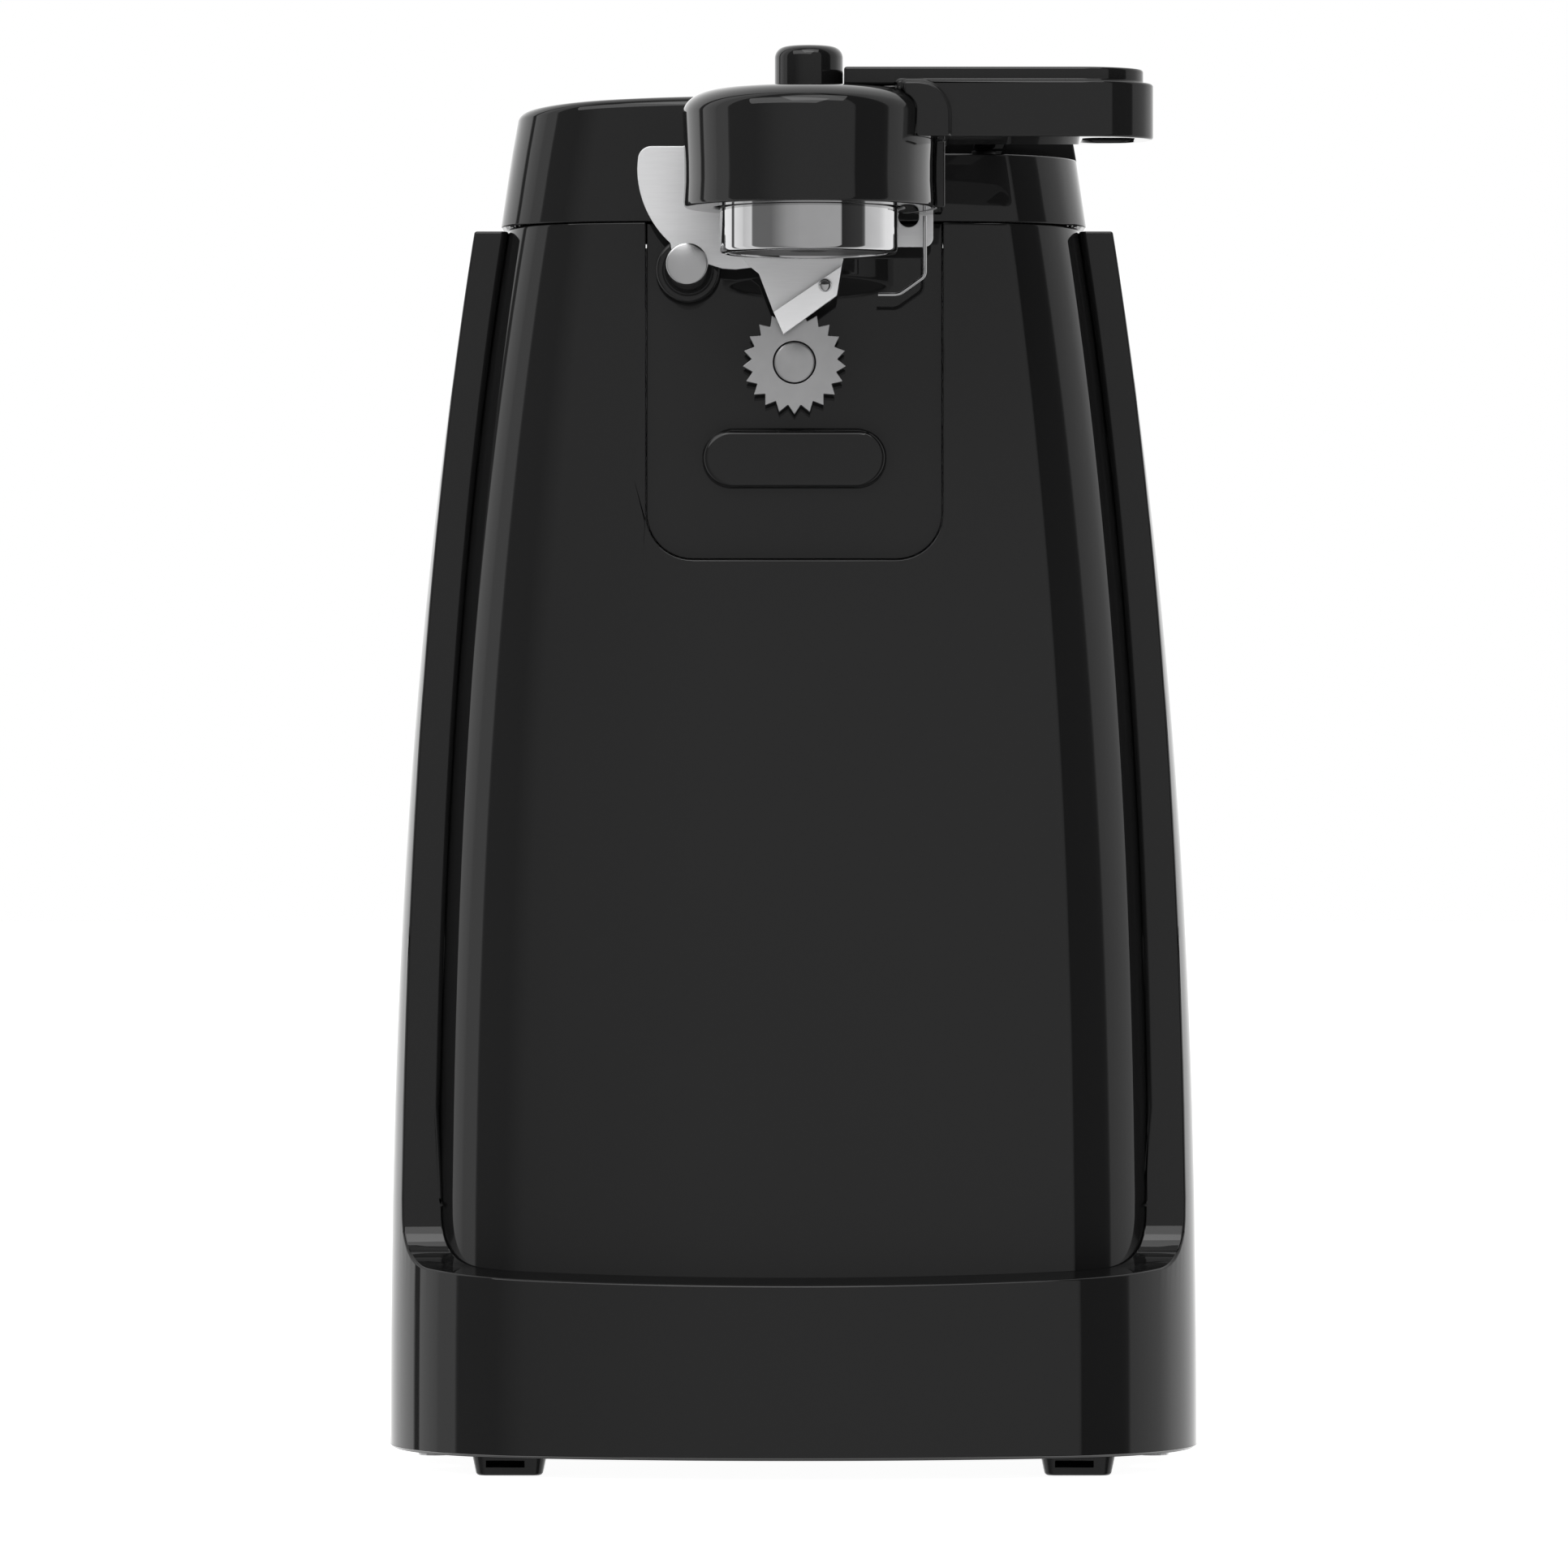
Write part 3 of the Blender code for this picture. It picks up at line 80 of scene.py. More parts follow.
WING_FILLET = 9.0  # a little rounder than the CAD's
BOSSES = ((-59.5, 5.0), (59.5, 5.0), (-59.5, 32.0), (59.5, 32.0))
BOSS_RADIUS = 5.5
BOSS_HOLE_RADIUS = 1.8

# Front shell and top cap.
SHELL_HALF_WIDTH = 61.1
SHELL_DRAW_IN = 13.8
SHELL_POWER = 2.6
SHELL_LEAN = 4.8
SHELL_CORNER = 23.0
SHELL_CORNER_DROP = 5.0
SHELL_WALL = 2.5
SHELL_BOTTOM = 24.0
SHELL_TOP = 205.2
SHELL_BACK = 2.8
SLOT_CLEARANCE = 0.12  # between shell and wings
SEAM = 0.15  # between shell and panel, and between shell and cap
CAP_BOTTOM = 205.5
CAP_TOP = 226.2
CAP_BACK = 50.5
CAP_HALF_WIDTH = 48.6
CAP_CROWN_DROP = 1.3  # how far the cap's top falls away at its sides
CAP_CROWN_HALF_WIDTH = 43.3
CAP_EDGE = 1.7  # height of the rounded top edge
SHELF_TOP = 216.7
SHELF_LEFT = 24.5
SHELF_BACK = 3.5

# Mechanism panel with the pad under the wheel.
PANEL_HALF_WIDTH = 24.2
PANEL_BOTTOM = 150.1
PANEL_CORNER = 7.6
PANEL_THICKNESS = 3.0
PANEL_FACE = -16.4
PANEL_LEAN = math.radians(2.6)
PAD_HALF_WIDTH = 15.1
PAD_HEIGHT = 9.7
PAD_CENTRE_Z = 166.6
PAD_THICKNESS = 2.0

# Drive wheel and its shaft.
DRIVE_X = 0.1
DRIVE_Z = 182.1
WHEEL_TEETH = 21
WHEEL_TIP = 8.47
WHEEL_ROOT = 7.0
WHEEL_FRONT = -22.7
WHEEL_THICKNESS = 3.0
SHAFT_RADIUS = 3.4

# Lever: pin, plate, round housing, arm with its raised rim, hub beside the housing, tab.
PIVOT_X = -17.3
PIVOT_Z = 197.4
PIN_FRONT = -37.0
PIN_HEAD_RADIUS = 3.4
PIN_SHAFT_RADIUS = 1.6
PLATE_FACE = -25.2
PLATE_THICKNESS = 1.2
BLADE = ((-3.3, 190.1), (-1.7, 186.5), (7.0, 192.8), (7.8, 197.6))  # corners, as (x, z)
RIVET_X = 5.1
RIVET_Z = 194.4
DOME_X = 2.4
DOME_Y = -43.0
DOME_RADIUS = 20.2
DOME_BOTTOM = 206.0
DOME_TOP = 225.0
DOME_BACK = -25.6
ARM_LEFT = 8.0
ARM_SETBACK = 8.5  # how much further right the arm starts than its rim
ARM_RIGHT = 57.8
ARM_END = 12.0
ARM_Y = -44.0
ARM_HALF_DEPTH = 9.5
ARM_Z = (216.8, 225.8)
RIM_TOP = 228.1
RIM_INSET = 1.6
HUB_RIGHT = 24.9
HUB_FRONT = -54.4
HUB_CORNER = 5.2
TAB_X = (29.5, 35.0)
TAB_Z = (218.6, 224.0)
LEVER_SCREWS = ((2.4, 213.4), (21.0, 212.5))

# Magnet, push knob and the knob's spring.
MAGNET_RADIUS = 14.35
MAGNET_Z = (198.6, 207.6)
KNOB_RADIUS = 5.5
KNOB_BOTTOM = 225.2
KNOB_TOP = 232.0
STEM_RADIUS = 1.6
KNOB_SPRING = (217.8, 227.9)

# Switch plunger and its spring.
PLUNGER_X = 31.5
PLUNGER_Y = -1.2
PLUNGER_RADIUS = 2.2
PLUNGER_TOP = 218.2
SWITCH_TOP = 204.5
PLUNGER_SPRING = (SWITCH_TOP + GAP, 210.9)

# Feet and cord inlet.
FOOT_RADIUS = 5.7
FEET = {"front_left": (-46.6, -12.0), "front_right": (46.6, -12.0),
        "rear_left": (-46.6, 44.0), "rear_right": (46.6, 44.0)}
INLET_X = 24.0
INLET_Z = 20.0

# Turns about X and Z: as drawn, drawn in the front plane, and drawn in the side plane.
UPRIGHT = (0.0, 0.0, 0.0)
FACE_FRONT = (math.pi / 2, 0.0, 0.0)
FACE_SIDE = (math.pi / 2, 0.0, math.pi / 2)

# Brightness of the surroundings by direction: degrees from the front, positive to the right.
SURROUNDINGS = ((-180, 1.0), (-120, 1.0), (-119, 0.10), (-113.5, 0.10), (-112.5, 0.95),
                (-96, 0.80), (-94, 0.66), (-79.5, 0.78), (-78.5, 0.16), (-50, 0.16),
                (-28, 0.35), (-10, 0.41), (42, 0.43), (43, 0.03), (72, 0.05), (77, 0.12),
                (78, 0.58), (104, 0.70), (118, 0.95), (180, 1.0))
SURROUNDINGS_STRENGTH = 1.4

# Lamps as place, size and watts, and the camera, in metres.
LIT_POINT = (0.0, 0.0, 0.12)
LAMPS = {"key": ((-0.40, -0.90, 1.10), (1.5, 0.85), 9.0),
         "top": ((0.10, -0.65, 1.20), (0.9, 0.7), 4.0)}
CAMERA_AT = (-0.0016, -1.5115, 0.1133)
CAMERA_LENS = 209.5
CAMERA_SENSOR = 36.0

PIECES = {}


# ---------------------------------------------------------------- mesh helpers

def make_object(name, bm, at=(0, 0, 0), turn=UPRIGHT):
    """A new object whose place is baked into its mesh, in the row frame."""
    spin = Matrix.Rotation(turn[2], 4, "Z") @ Matrix.Rotation(turn[0], 4, "X")
    bm.transform(Matrix.Translation(Vector(at) * MM) @ spin)
    bmesh.ops.recalc_face_normals(bm, faces=bm.faces)
    mesh = bpy.data.meshes.new(name)
    bm.to_mesh(mesh)
    bm.free()
    obj = bpy.data.objects.new(name, mesh)
    bpy.context.scene.collection.objects.link(obj)
    return obj


def evaluate(obj):
    """Apply the object's modifiers to its mesh."""
    bpy.context.view_layer.update()
    graph = bpy.context.evaluated_depsgraph_get()
    mesh = bpy.data.meshes.new_from_object(obj.evaluated_get(graph))
    obj.modifiers.clear()
    old = obj.data
    obj.data = mesh
    bpy.data.meshes.remove(old)
    return obj


def combine(obj, operation, others):
    """Cut with or unite with each of the others, which are then removed."""
    for other in others:
        modifier = obj.modifiers.new(other.name, "BOOLEAN")
        modifier.operation = operation
        modifier.object = other
        modifier.use_hole_tolerant = False
    evaluate(obj)
    for other in others:
        mesh = other.data
        bpy.data.objects.remove(other, do_unlink=True)
        bpy.data.meshes.remove(mesh)
    return obj


def cut(obj, *others):
    """Subtract the others."""
    return combine(obj, "DIFFERENCE", others)


def join(obj, *others):
    """Unite with the others."""
    return combine(obj, "UNION", others)


def soften(obj, width, segments=3, angle=28, merge=0.02):
    """Round the sharp edges and shade the piece so that its flat faces stay flat."""
    bm = bmesh.new()
    bm.from_mesh(obj.data)
    bmesh.ops.remove_doubles(bm, verts=bm.verts, dist=merge * MM)
    bmesh.ops.dissolve_degenerate(bm, edges=bm.edges, dist=0.005 * MM)
    bm.to_mesh(obj.data)
    bm.free()
    if width:
        bevel = obj.modifiers.new("bevel", "BEVEL")
        bevel.width = width * MM
        bevel.segments = segments
        bevel.limit_method = "ANGLE"
        bevel.angle_limit = math.radians(angle)
        bevel.use_clamp_overlap = False
        bevel.miter_outer = "MITER_ARC"
    evaluate(obj)
    obj.data.shade_smooth()
    weight = obj.modifiers.new("normals", "WEIGHTED_NORMAL")
    weight.weight = 80
    weight.keep_sharp = False
    return evaluate(obj)


def box(name, low, high):
    """A block between two corners."""
    bm = bmesh.new()
    bmesh.ops.create_cube(bm, size=1.0)
    bmesh.ops.scale(bm, vec=[(b - a) * MM for a, b in zip(low, high)], verts=bm.verts)
    return make_object(name, bm, [(a + b) / 2 for a, b in zip(low, high)])


def turned(name, profile, at, turn=UPRIGHT, steps=96):
    """A lathe piece from a (radius, height) profile."""
    bm = bmesh.new()
    rings = []
    for radius, height in profile:
        if radius <= 0:
            rings.append([bm.verts.new((0, 0, height * MM))])
            continue
        ring = []
        for i in range(steps):
            angle = 2 * math.pi * i / steps
            ring.append(bm.verts.new((radius * MM * math.cos(angle),
                                      radius * MM * math.sin(angle), height * MM)))
        rings.append(ring)
    pairs = list(zip(rings, rings[1:]))
    if profile[0][0] > 0:
        pairs.append((rings[-1], rings[0]))
    for first, second in pairs:
        for i in range(steps):
            j = (i + 1) % steps
            corners = [first[i % len(first)], first[j % len(first)],
                       second[j % len(second)], second[i % len(second)]]
            unique = list(dict.fromkeys(corners))
            if len(unique) > 2:
                bm.faces.new(unique)
    return make_object(name, bm, at, turn)


def bar(name, radius, span, at, turn=UPRIGHT, steps=48):
    """A round bar whose span is measured along its own axis."""
    profile = [(0, span[1]), (radius, span[1]), (radius, span[0]), (0, span[0])]
    return turned(name, profile, at, turn, steps)


def bar_y(name, radius, span, x, z, steps=48):
    """A round bar along Y, between two Y values."""
    return bar(name, radius, (-span[1], -span[0]), (x, 0, z), FACE_FRONT, steps)


def sheet(name, outline, span, at=(0, 0, 0), turn=UPRIGHT):
    """A solid prism from one closed outline, between two heights on its own axis."""
    bm = bmesh.new()
    rings = [[bm.verts.new((x * MM, y * MM, z * MM)) for x, y in outline] for z in span]
    count = len(outline)
    for i in range(count):
        j = (i + 1) % count
        bm.faces.new((rings[0][i], rings[0][j], rings[1][j], rings[1][i]))
    bm.faces.new(rings[0][::-1])
    bm.faces.new(rings[1])
    return make_object(name, bm, at, turn)


def sheet_xz(name, outline, span):
    """A prism whose outline is (x, z), between two Y values."""
    return sheet(name, outline, (-span[1], -span[0]), (0, 0, 0), FACE_FRONT)


def loft(name, levels):
    """A closed solid through plan rings, given as (height, ring) from the bottom up."""
    bm = bmesh.new()
    rings = [[bm.verts.new((x * MM, y * MM, height * MM)) for x, y in ring]
             for height, ring in levels]
    count = len(rings[0])
    for lower, upper in zip(rings, rings[1:]):
        for i in range(count):
            j = (i + 1) % count
            bm.faces.new((lower[i], lower[j], upper[j], upper[i]))
    bm.faces.new(rings[0][::-1])
    bm.faces.new(rings[-1])
    return make_object(name, bm)


def arc(centre, radius, start, end, steps):
    """Points on an arc, angles in degrees, both ends included."""
    points = []
    for i in range(steps + 1):
        angle = math.radians(start + (end - start) * i / steps)
        points.append((centre[0] + radius * math.cos(angle),
                       centre[1] + radius * math.sin(angle)))
    return points


def stadium(centre, half_width, half_height, steps=32):
    """A long pill shape."""
    reach = half_width - half_height
    return (arc((centre[0] + reach, centre[1]), half_height, -90, 90, steps)
            + arc((centre[0] - reach, centre[1]), half_height, 90, 270, steps))


def grid(start, end, step):
    """Evenly spaced values from start to end, no further apart than the step."""
    count = max(1, math.ceil(abs(end - start) / step))
    return [start + (end - start) * i / count for i in range(count + 1)]


# Heights at which every form that meets the wings has a row of points.
LEVELS = [45.0] + grid(60.0, WING_TOP, 7.0)


# ---------------------------------------------------------------- body shapes

def taper(height, power):
    """How far up the body a height is, from 0 at the table to 1 at the wings' top."""
    return (max(height, 0.0) / WING_TOP) ** power


def body_ring(half_width, front, back, crown, front_corner, back_corner, fine=4):
    """Plan outline with a crowned front, round corners, straight sides and a flat back."""
    corner_x = half_width - front_corner
    reach = crown - front_corner
    corner_y = front + crown - math.sqrt(reach ** 2 - corner_x ** 2)
    turn = math.asin(corner_x / reach)
    right = []
    for i in range(4 * fine):
        angle = turn * i / (4 * fine)
        right.append((crown * math.sin(angle), front + crown - crown * math.cos(angle)))
    for i in range(6 * fine + 1):
        angle = turn + (math.pi / 2 - turn) * i / (6 * fine)
        right.append((corner_x + front_corner * math.sin(angle),
                      corner_y - front_corner * math.cos(angle)))
    start = back - back_corner
    for i in range(1, 3):
        right.append((half_width, corner_y + (start - corner_y) * i / 3))
    for i in range(3 * fine + 1):
        angle = math.pi / 2 * i / (3 * fine)
        right.append((half_width - back_corner + back_corner * math.cos(angle),
                      start + back_corner * math.sin(angle)))
    left = [(-x, y) for x, y in reversed(right) if x > 0.01]
    return right + left


def housing_half_width(height):
    """Half the width of the outer housing."""
    return HALF_WIDTH - SIDE_DRAW_IN * taper(height, TAPER_POWER)


def housing_back(height):
    """Y of the outer housing's back."""
    return BASE_BACK - BACK_DRAW_IN * taper(height, TAPER_POWER)


def housing_ring(height, inset):
    """Outer housing's plan, drawn in by an inset."""
    return body_ring(housing_half_width(height) - inset, BASE_FRONT + inset,
                     housing_back(height) - inset,
                     CROWN_RADIUS - inset, FRONT_CORNER - inset, BACK_CORNER - inset)


def shell_front(height):
    """Y of the front shell's middle line, which leans back towards the top."""
    return BASE_FRONT + LEDGE_DEPTH + SHELL_LEAN * taper(height, TAPER_POWER)


def shell_half_width(height):
    """Half the width of the front shell."""
    return SHELL_HALF_WIDTH - SHELL_DRAW_IN * taper(height, SHELL_POWER)


def shell_corner(height):
    """Radius of the front shell's corners."""
    return SHELL_CORNER - SHELL_CORNER_DROP * taper(height, TAPER_POWER)


def shell_ring(height, inset):
    """Front shell's plan, run on to the back."""
    return body_ring(shell_half_width(height) - inset, shell_front(height) + inset,
                     SHELL_BACK + 30, CROWN_RADIUS - 5 - inset, shell_corner(height) - inset,
                     0.5)


def cap_ring(height, inset):
    """Top cap's plan at a height."""
    rise = max(height - CAP_BOTTOM, 0.0)
    half_width = CAP_HALF_WIDTH - 0.147 * rise - inset
    front = shell_front(CAP_BOTTOM) + 0.08 * rise + inset
    return body_ring(half_width, front, CAP_BACK - 0.08 * rise - inset,
                     CROWN_RADIUS - 5 - inset, shell_corner(CAP_BOTTOM) - inset, 18.0 - inset)


def ledge_z(y):
    """Height of the sloping ledge on the front rim."""
    return LEDGE_HEIGHT + LEDGE_SLOPE * (y - BASE_FRONT)


def behind(name, y):
    """A cutter for everything behind a Y value."""
    return box(name, (-100.0, y, -20.0), (100.0, y + 100.0, 260.0))


def wing_front(height):
    """Y of the wings' front faces, which lean back with the shell."""
    return WING_FRONT + SHELL_LEAN * taper(height, TAPER_POWER)


def front_opening_cutter():
    """Everything in front of the wings and above the ledge."""
    far = BASE_FRONT - 15
    fillet_y = WING_FRONT - WING_FILLET
    fillet_z = ledge_z(fillet_y) + WING_FILLET
    slope = math.degrees(math.atan(LEDGE_SLOPE))
    profile = [(far, ledge_z(far))]
    profile += arc((fillet_y, fillet_z), WING_FILLET, -90 + slope, 0, 20)
    profile += [(wing_front(z), z) for z in LEVELS + [WING_TOP + 10]]
    profile.append((far, WING_TOP + 10))
    half = HALF_WIDTH + 10
    return sheet("front_opening", profile, (-half, half), (0, 0, 0), FACE_SIDE)


def wing_edge(height):
    """Half the width of the opening between the wings, in the plane of their front faces."""
    corner = shell_corner(height) + SLOT_CLEARANCE
    corner_x = shell_half_width(height) - shell_corner(height)
    crown = CROWN_RADIUS - 5 + SLOT_CLEARANCE
    corner_y = (shell_front(height) - SLOT_CLEARANCE + crown
                - math.sqrt((crown - corner) ** 2 - corner_x ** 2))
    return corner_x + math.sqrt(corner ** 2 - (corner_y - wing_front(height)) ** 2)


def wing_chamfer_cutter():
    """Takes the inner front edge off both wings, fading out above their foot."""
    levels = []
    for z in [44.0] + LEVELS + [WING_TOP + 2]:
        width = (WING_CHAMFER + 0.5) * min(1.0, (z - 43.5) / 16.5)
        near, far, face = wing_edge(z) + width, wing_edge(z), wing_front(z)
        levels.append((z, [(-near, face - 0.7), (near, face - 0.7),
                           (far, face + 1.6), (-far, face + 1.6)]))
    return loft("wing_chamfer", levels)


def wall_hollow(start):
    """The room between the wings' lips and the back wall."""
    levels = []
    for z in grid(start, WING_TOP - HOUSING_WALL, 20.0):
        levels.append((z, body_ring(housing_half_width(z) - HOUSING_WALL, WING_FRONT + WING_LIP,
                                    housing_back(z) - HOUSING_WALL,
                                    3000.0, 1.0, BACK_CORNER - HOUSING_WALL, 2)))
    return loft("wall_hollow", levels)


def front_slot():
    """The way for the front shell between the wings."""
    slot = loft("front_slot", [(z, shell_ring(z, -SLOT_CLEARANCE))
                               for z in [SHELL_BOTTOM - 6] + LEVELS + [WING_TOP + 2]])
    return cut(slot, behind("slot_back", WING_FRONT + WING_LIP + 0.5))


def make_rear_housing():
    """Base and wings in one moulding, with rounded edges."""
    low = [(BASE_BOTTOM + rise, housing_ring(BASE_BOTTOM, inset))
           for rise, inset in ((0.0, 0.4), (0.1, 0.12), (0.4, 0.0))]
    housing = loft("housing_shell", low + [(z, housing_ring(z, 0.0))
                                           for z in [5.5, 14.0, 23.0] + LEVELS])
    base_top = LEDGE_HEIGHT - HOUSING_WALL - 0.5
    base_hollow = loft("base_hollow", [
        (BASE_BOTTOM - 5, housing_ring(BASE_BOTTOM, HOUSING_WALL)),
        (base_top, housing_ring(base_top, HOUSING_WALL))])
    top = housing_ring(WING_TOP, SHOULDER)
    top_opening = loft("top_opening", [(WING_TOP - HOUSING_WALL - 1, top), (WING_TOP + 2, top)])
    inlet = bar_y("inlet", 4.8, (BASE_BACK - 10, BASE_BACK + 5), INLET_X, INLET_Z)
    cut(housing, front_opening_cutter(), base_hollow, wall_hollow(base_top - 1), top_opening,
        front_slot(), inlet, wing_chamfer_cutter())
    bosses, holes = [], []
    for i, (x, y) in enumerate(BOSSES):
        bosses.append(bar(f"boss_{i}", BOSS_RADIUS, (6.6, 24.0), (x, y, 0)))
        holes.append(bar(f"boss_hole_{i}", BOSS_HOLE_RADIUS, (0.0, 18.0), (x, y, 0)))
    join(housing, *bosses)
    cut(housing, *holes)
    soften(housing, 0.4, 3, 28, 0.05)
    for vertex in housing.data.vertices:
        widest = housing_half_width(vertex.co.z / MM) * MM
        vertex.co.x = max(-widest, min(widest, vertex.co.x))
    return housing


def panel_outline(grow, top, steps=12):
    """The mechanism panel's U shape, as (x, z)."""
    half = PANEL_HALF_WIDTH + grow
    low = PANEL_BOTTOM - grow
    corner = PANEL_CORNER + grow
    outline = [(DRIVE_X + half, top), (DRIVE_X - half, top)]
    outline += arc((DRIVE_X - half + corner, low + corner), corner, 180, 270, steps)
    outline += arc((DRIVE_X + half - corner, low + corner), corner, 270, 360, steps)
    return outline


def make_front_shell():
    """Glossy front cover with the notch for the mechanism panel."""
    shell = loft("front_cover", [(z, shell_ring(z, 0.0))
                                 for z in [SHELL_BOTTOM] + LEVELS + [SHELL_TOP + SEAM]])
    hollow = loft("shell_hollow", [(z, shell_ring(z, SHELL_WALL))
                                   for z in [SHELL_BOTTOM - 5] + grid(45.0, SHELL_TOP + 5, 14.0)])
    cut(shell, hollow, behind("shell_back", SHELL_BACK))
    cut(shell, sheet_xz("panel_notch", panel_outline(SEAM, SHELL_TOP + 10), (-40.0, -6.0)))
    return soften(shell, 0.2, 2, 28, 0.08)


def lean(name, outline, span):
    """A plate on the panel's leaning plane, drawn from its middle line at the wheel."""
    return sheet(name, outline, span, (0, PANEL_FACE, DRIVE_Z),
                 (math.pi / 2 - PANEL_LEAN, 0.0, 0.0))


def make_mechanism_panel():
    """Flat panel behind the wheel."""
    outline = [(x, z - DRIVE_Z) for x, z in panel_outline(0.0, SHELL_TOP)]
    panel = lean("panel", outline, (-PANEL_THICKNESS, 0.0))
    span = (PANEL_FACE - 8, PANEL_FACE + 10)
    cut(panel, bar_y("shaft_hole", SHAFT_RADIUS + 0.4, span, DRIVE_X, DRIVE_Z),
        bar_y("pin_hole", PIN_SHAFT_RADIUS + 0.3, span, PIVOT_X, PIVOT_Z))
    return soften(panel, 0.15, 2, 28, 0.05)


def make_can_rest_pad():
    """Raised pill-shaped pad with a soft outer edge."""
    outline = stadium((DRIVE_X, PAD_CENTRE_Z - DRIVE_Z), PAD_HALF_WIDTH, PAD_HEIGHT / 2)
    pad = lean("rest_pad", outline, (0.05, GAP + PAD_THICKNESS))
    return soften(pad, 1.2, 5)


def make_top_cap():
    """Cap that closes the top, crowned across, with the lowered shelf."""
    side_top = CAP_TOP - CAP_EDGE
    levels = [(z, cap_ring(z, 0.0)) for z in (CAP_BOTTOM, 209.0, 213.0, 218.0, side_top)]
    for i in range(1, 9):
        angle = math.pi / 2 * i / 8
        z = side_top + CAP_EDGE * math.sin(angle)
        levels.append((z, cap_ring(z, 1.6 * (1 - math.cos(angle)))))
    cap = loft("cap", levels)
    inner = loft("cap_hollow", [(CAP_BOTTOM - 5, cap_ring(CAP_BOTTOM, SHELL_WALL)),
                                (CAP_TOP - SHELL_WALL, cap_ring(CAP_TOP, SHELL_WALL))])
    keep_low = (SHELF_LEFT - SHELL_WALL, -60.0, SHELF_TOP - SHELL_WALL)
    keep_high = (CAP_HALF_WIDTH + 20, SHELF_BACK + SHELL_WALL, CAP_TOP + 5)
    cut(inner, box("shelf_floor", keep_low, keep_high))
    shelf = box("cap_shelf", (SHELF_LEFT, -70.0, SHELF_TOP),
                (CAP_HALF_WIDTH + 30, SHELF_BACK, CAP_TOP + 15))
    hole = bar("plunger_hole", PLUNGER_RADIUS + 0.4, (SHELF_TOP - 8, SHELF_TOP + 8),
               (PLUNGER_X, PLUNGER_Y, 0))
    cut(cap, inner, shelf, hole)
    for vertex in cap.data.vertices:
        x, z = vertex.co.x / MM, vertex.co.z / MM
        high = max(0.0, (z - SHELF_TOP) / (CAP_TOP - SHELF_TOP))
        aside = min(abs(x) / CAP_CROWN_HALF_WIDTH, 1.1)
        vertex.co.z -= CAP_CROWN_DROP * MM * high * aside ** 3
    return soften(cap, 0.3, 2)


# ---------------------------------------------------------------- feet and small housing parts

def round_block(width, depth, corner, steps=10):
    """A rectangle with round corners, centred on the origin."""
    x, y = width / 2 - corner, depth / 2 - corner
    points = []
    for i, (cx, cy) in enumerate(((x, y), (-x, y), (-x, -y), (x, -y))):
        points += arc((cx, cy), corner, 90 * i, 90 * i + 90, steps)
    return points


def make_foot(place, x, y):
    """Soft block foot that narrows downwards, with a wedge slot in front and a hollow below."""
    levels = []
    for z, inset in ((0.0, 1.1), (0.12, 0.85), (0.4, 0.65), (3.5, 0.0)):
        ring = round_block(2 * (FOOT_RADIUS + 0.45 - inset), 2 * (FOOT_RADIUS - inset),
                           2.4 - inset)
        levels.append((z, [(x + dx, y + dy) for dx, dy in ring]))
    foot = loft("foot_" + place + "_pad", levels)
    face = y - FOOT_RADIUS
    profile = [(face - 1, 1.4), (face + 1.8, 1.4), (face + 4.2, 2.5), (face - 1, 2.5)]
    slot = sheet("foot_slot", profile, (x - 3.8, x + 2.5), (0, 0, 0), FACE_SIDE)
    cut(foot, slot, bar("foot_hollow", 3.5, (-1.0, 1.2), (x, y, 0)))
    return soften(foot, 0.08, 2, 40)


def make_inlet():
    """Ribbed rubber grommet in the back wall."""
    outside = BASE_BACK + GAP
    inside = BASE_BACK - HOUSING_WALL - GAP
    profile = [(3.0, 62.9), (3.3, 63.2), (5.0, 63.2), (5.6, 63.0), (6.0, 62.5), (6.0, outside),
               (4.5, outside), (4.5, inside), (6.0, inside), (6.0, inside - 1.8),
               (3.0, inside - 1.8)]
    inlet = turned("inlet_grommet", profile, (INLET_X, 0, INLET_Z), (-math.pi / 2, 0, 0), 64)
    return soften(inlet, 0.1, 2)


def make_pivot_pin():
    """Chrome pin with a chamfered flat head."""
    head = PIN_HEAD_RADIUS
    front = -PIN_FRONT
    profile = [(0, front), (head - 0.35, front), (head - 0.1, front - 0.1),
               (head, front - 0.35), (head, front - 4.0), (2.6, front - 4.0),
               (2.6, -PLATE_FACE + GAP), (PIN_SHAFT_RADIUS, -PLATE_FACE + GAP),
               (PIN_SHAFT_RADIUS, 7.5), (0, 7.5)]
    pin = turned("lever_pin", profile, (PIVOT_X, 0, PIVOT_Z), FACE_FRONT, 96)
    return soften(pin, 0.06, 2, 30)


def make_pivot_seat():
    """Round black seat behind the lever, with a soft edge."""
    profile = [(1.8, 20.0), (4.6, 20.0), (5.0, 19.9), (5.25, 19.6), (5.3, 19.2), (5.3, 16.4),
               (1.8, 16.4)]
    seat = turned("pin_seat", profile, (PIVOT_X, 0, PIVOT_Z), FACE_FRONT, 96)
    return soften(seat, 0)


# ---------------------------------------------------------------- wheel and shaft

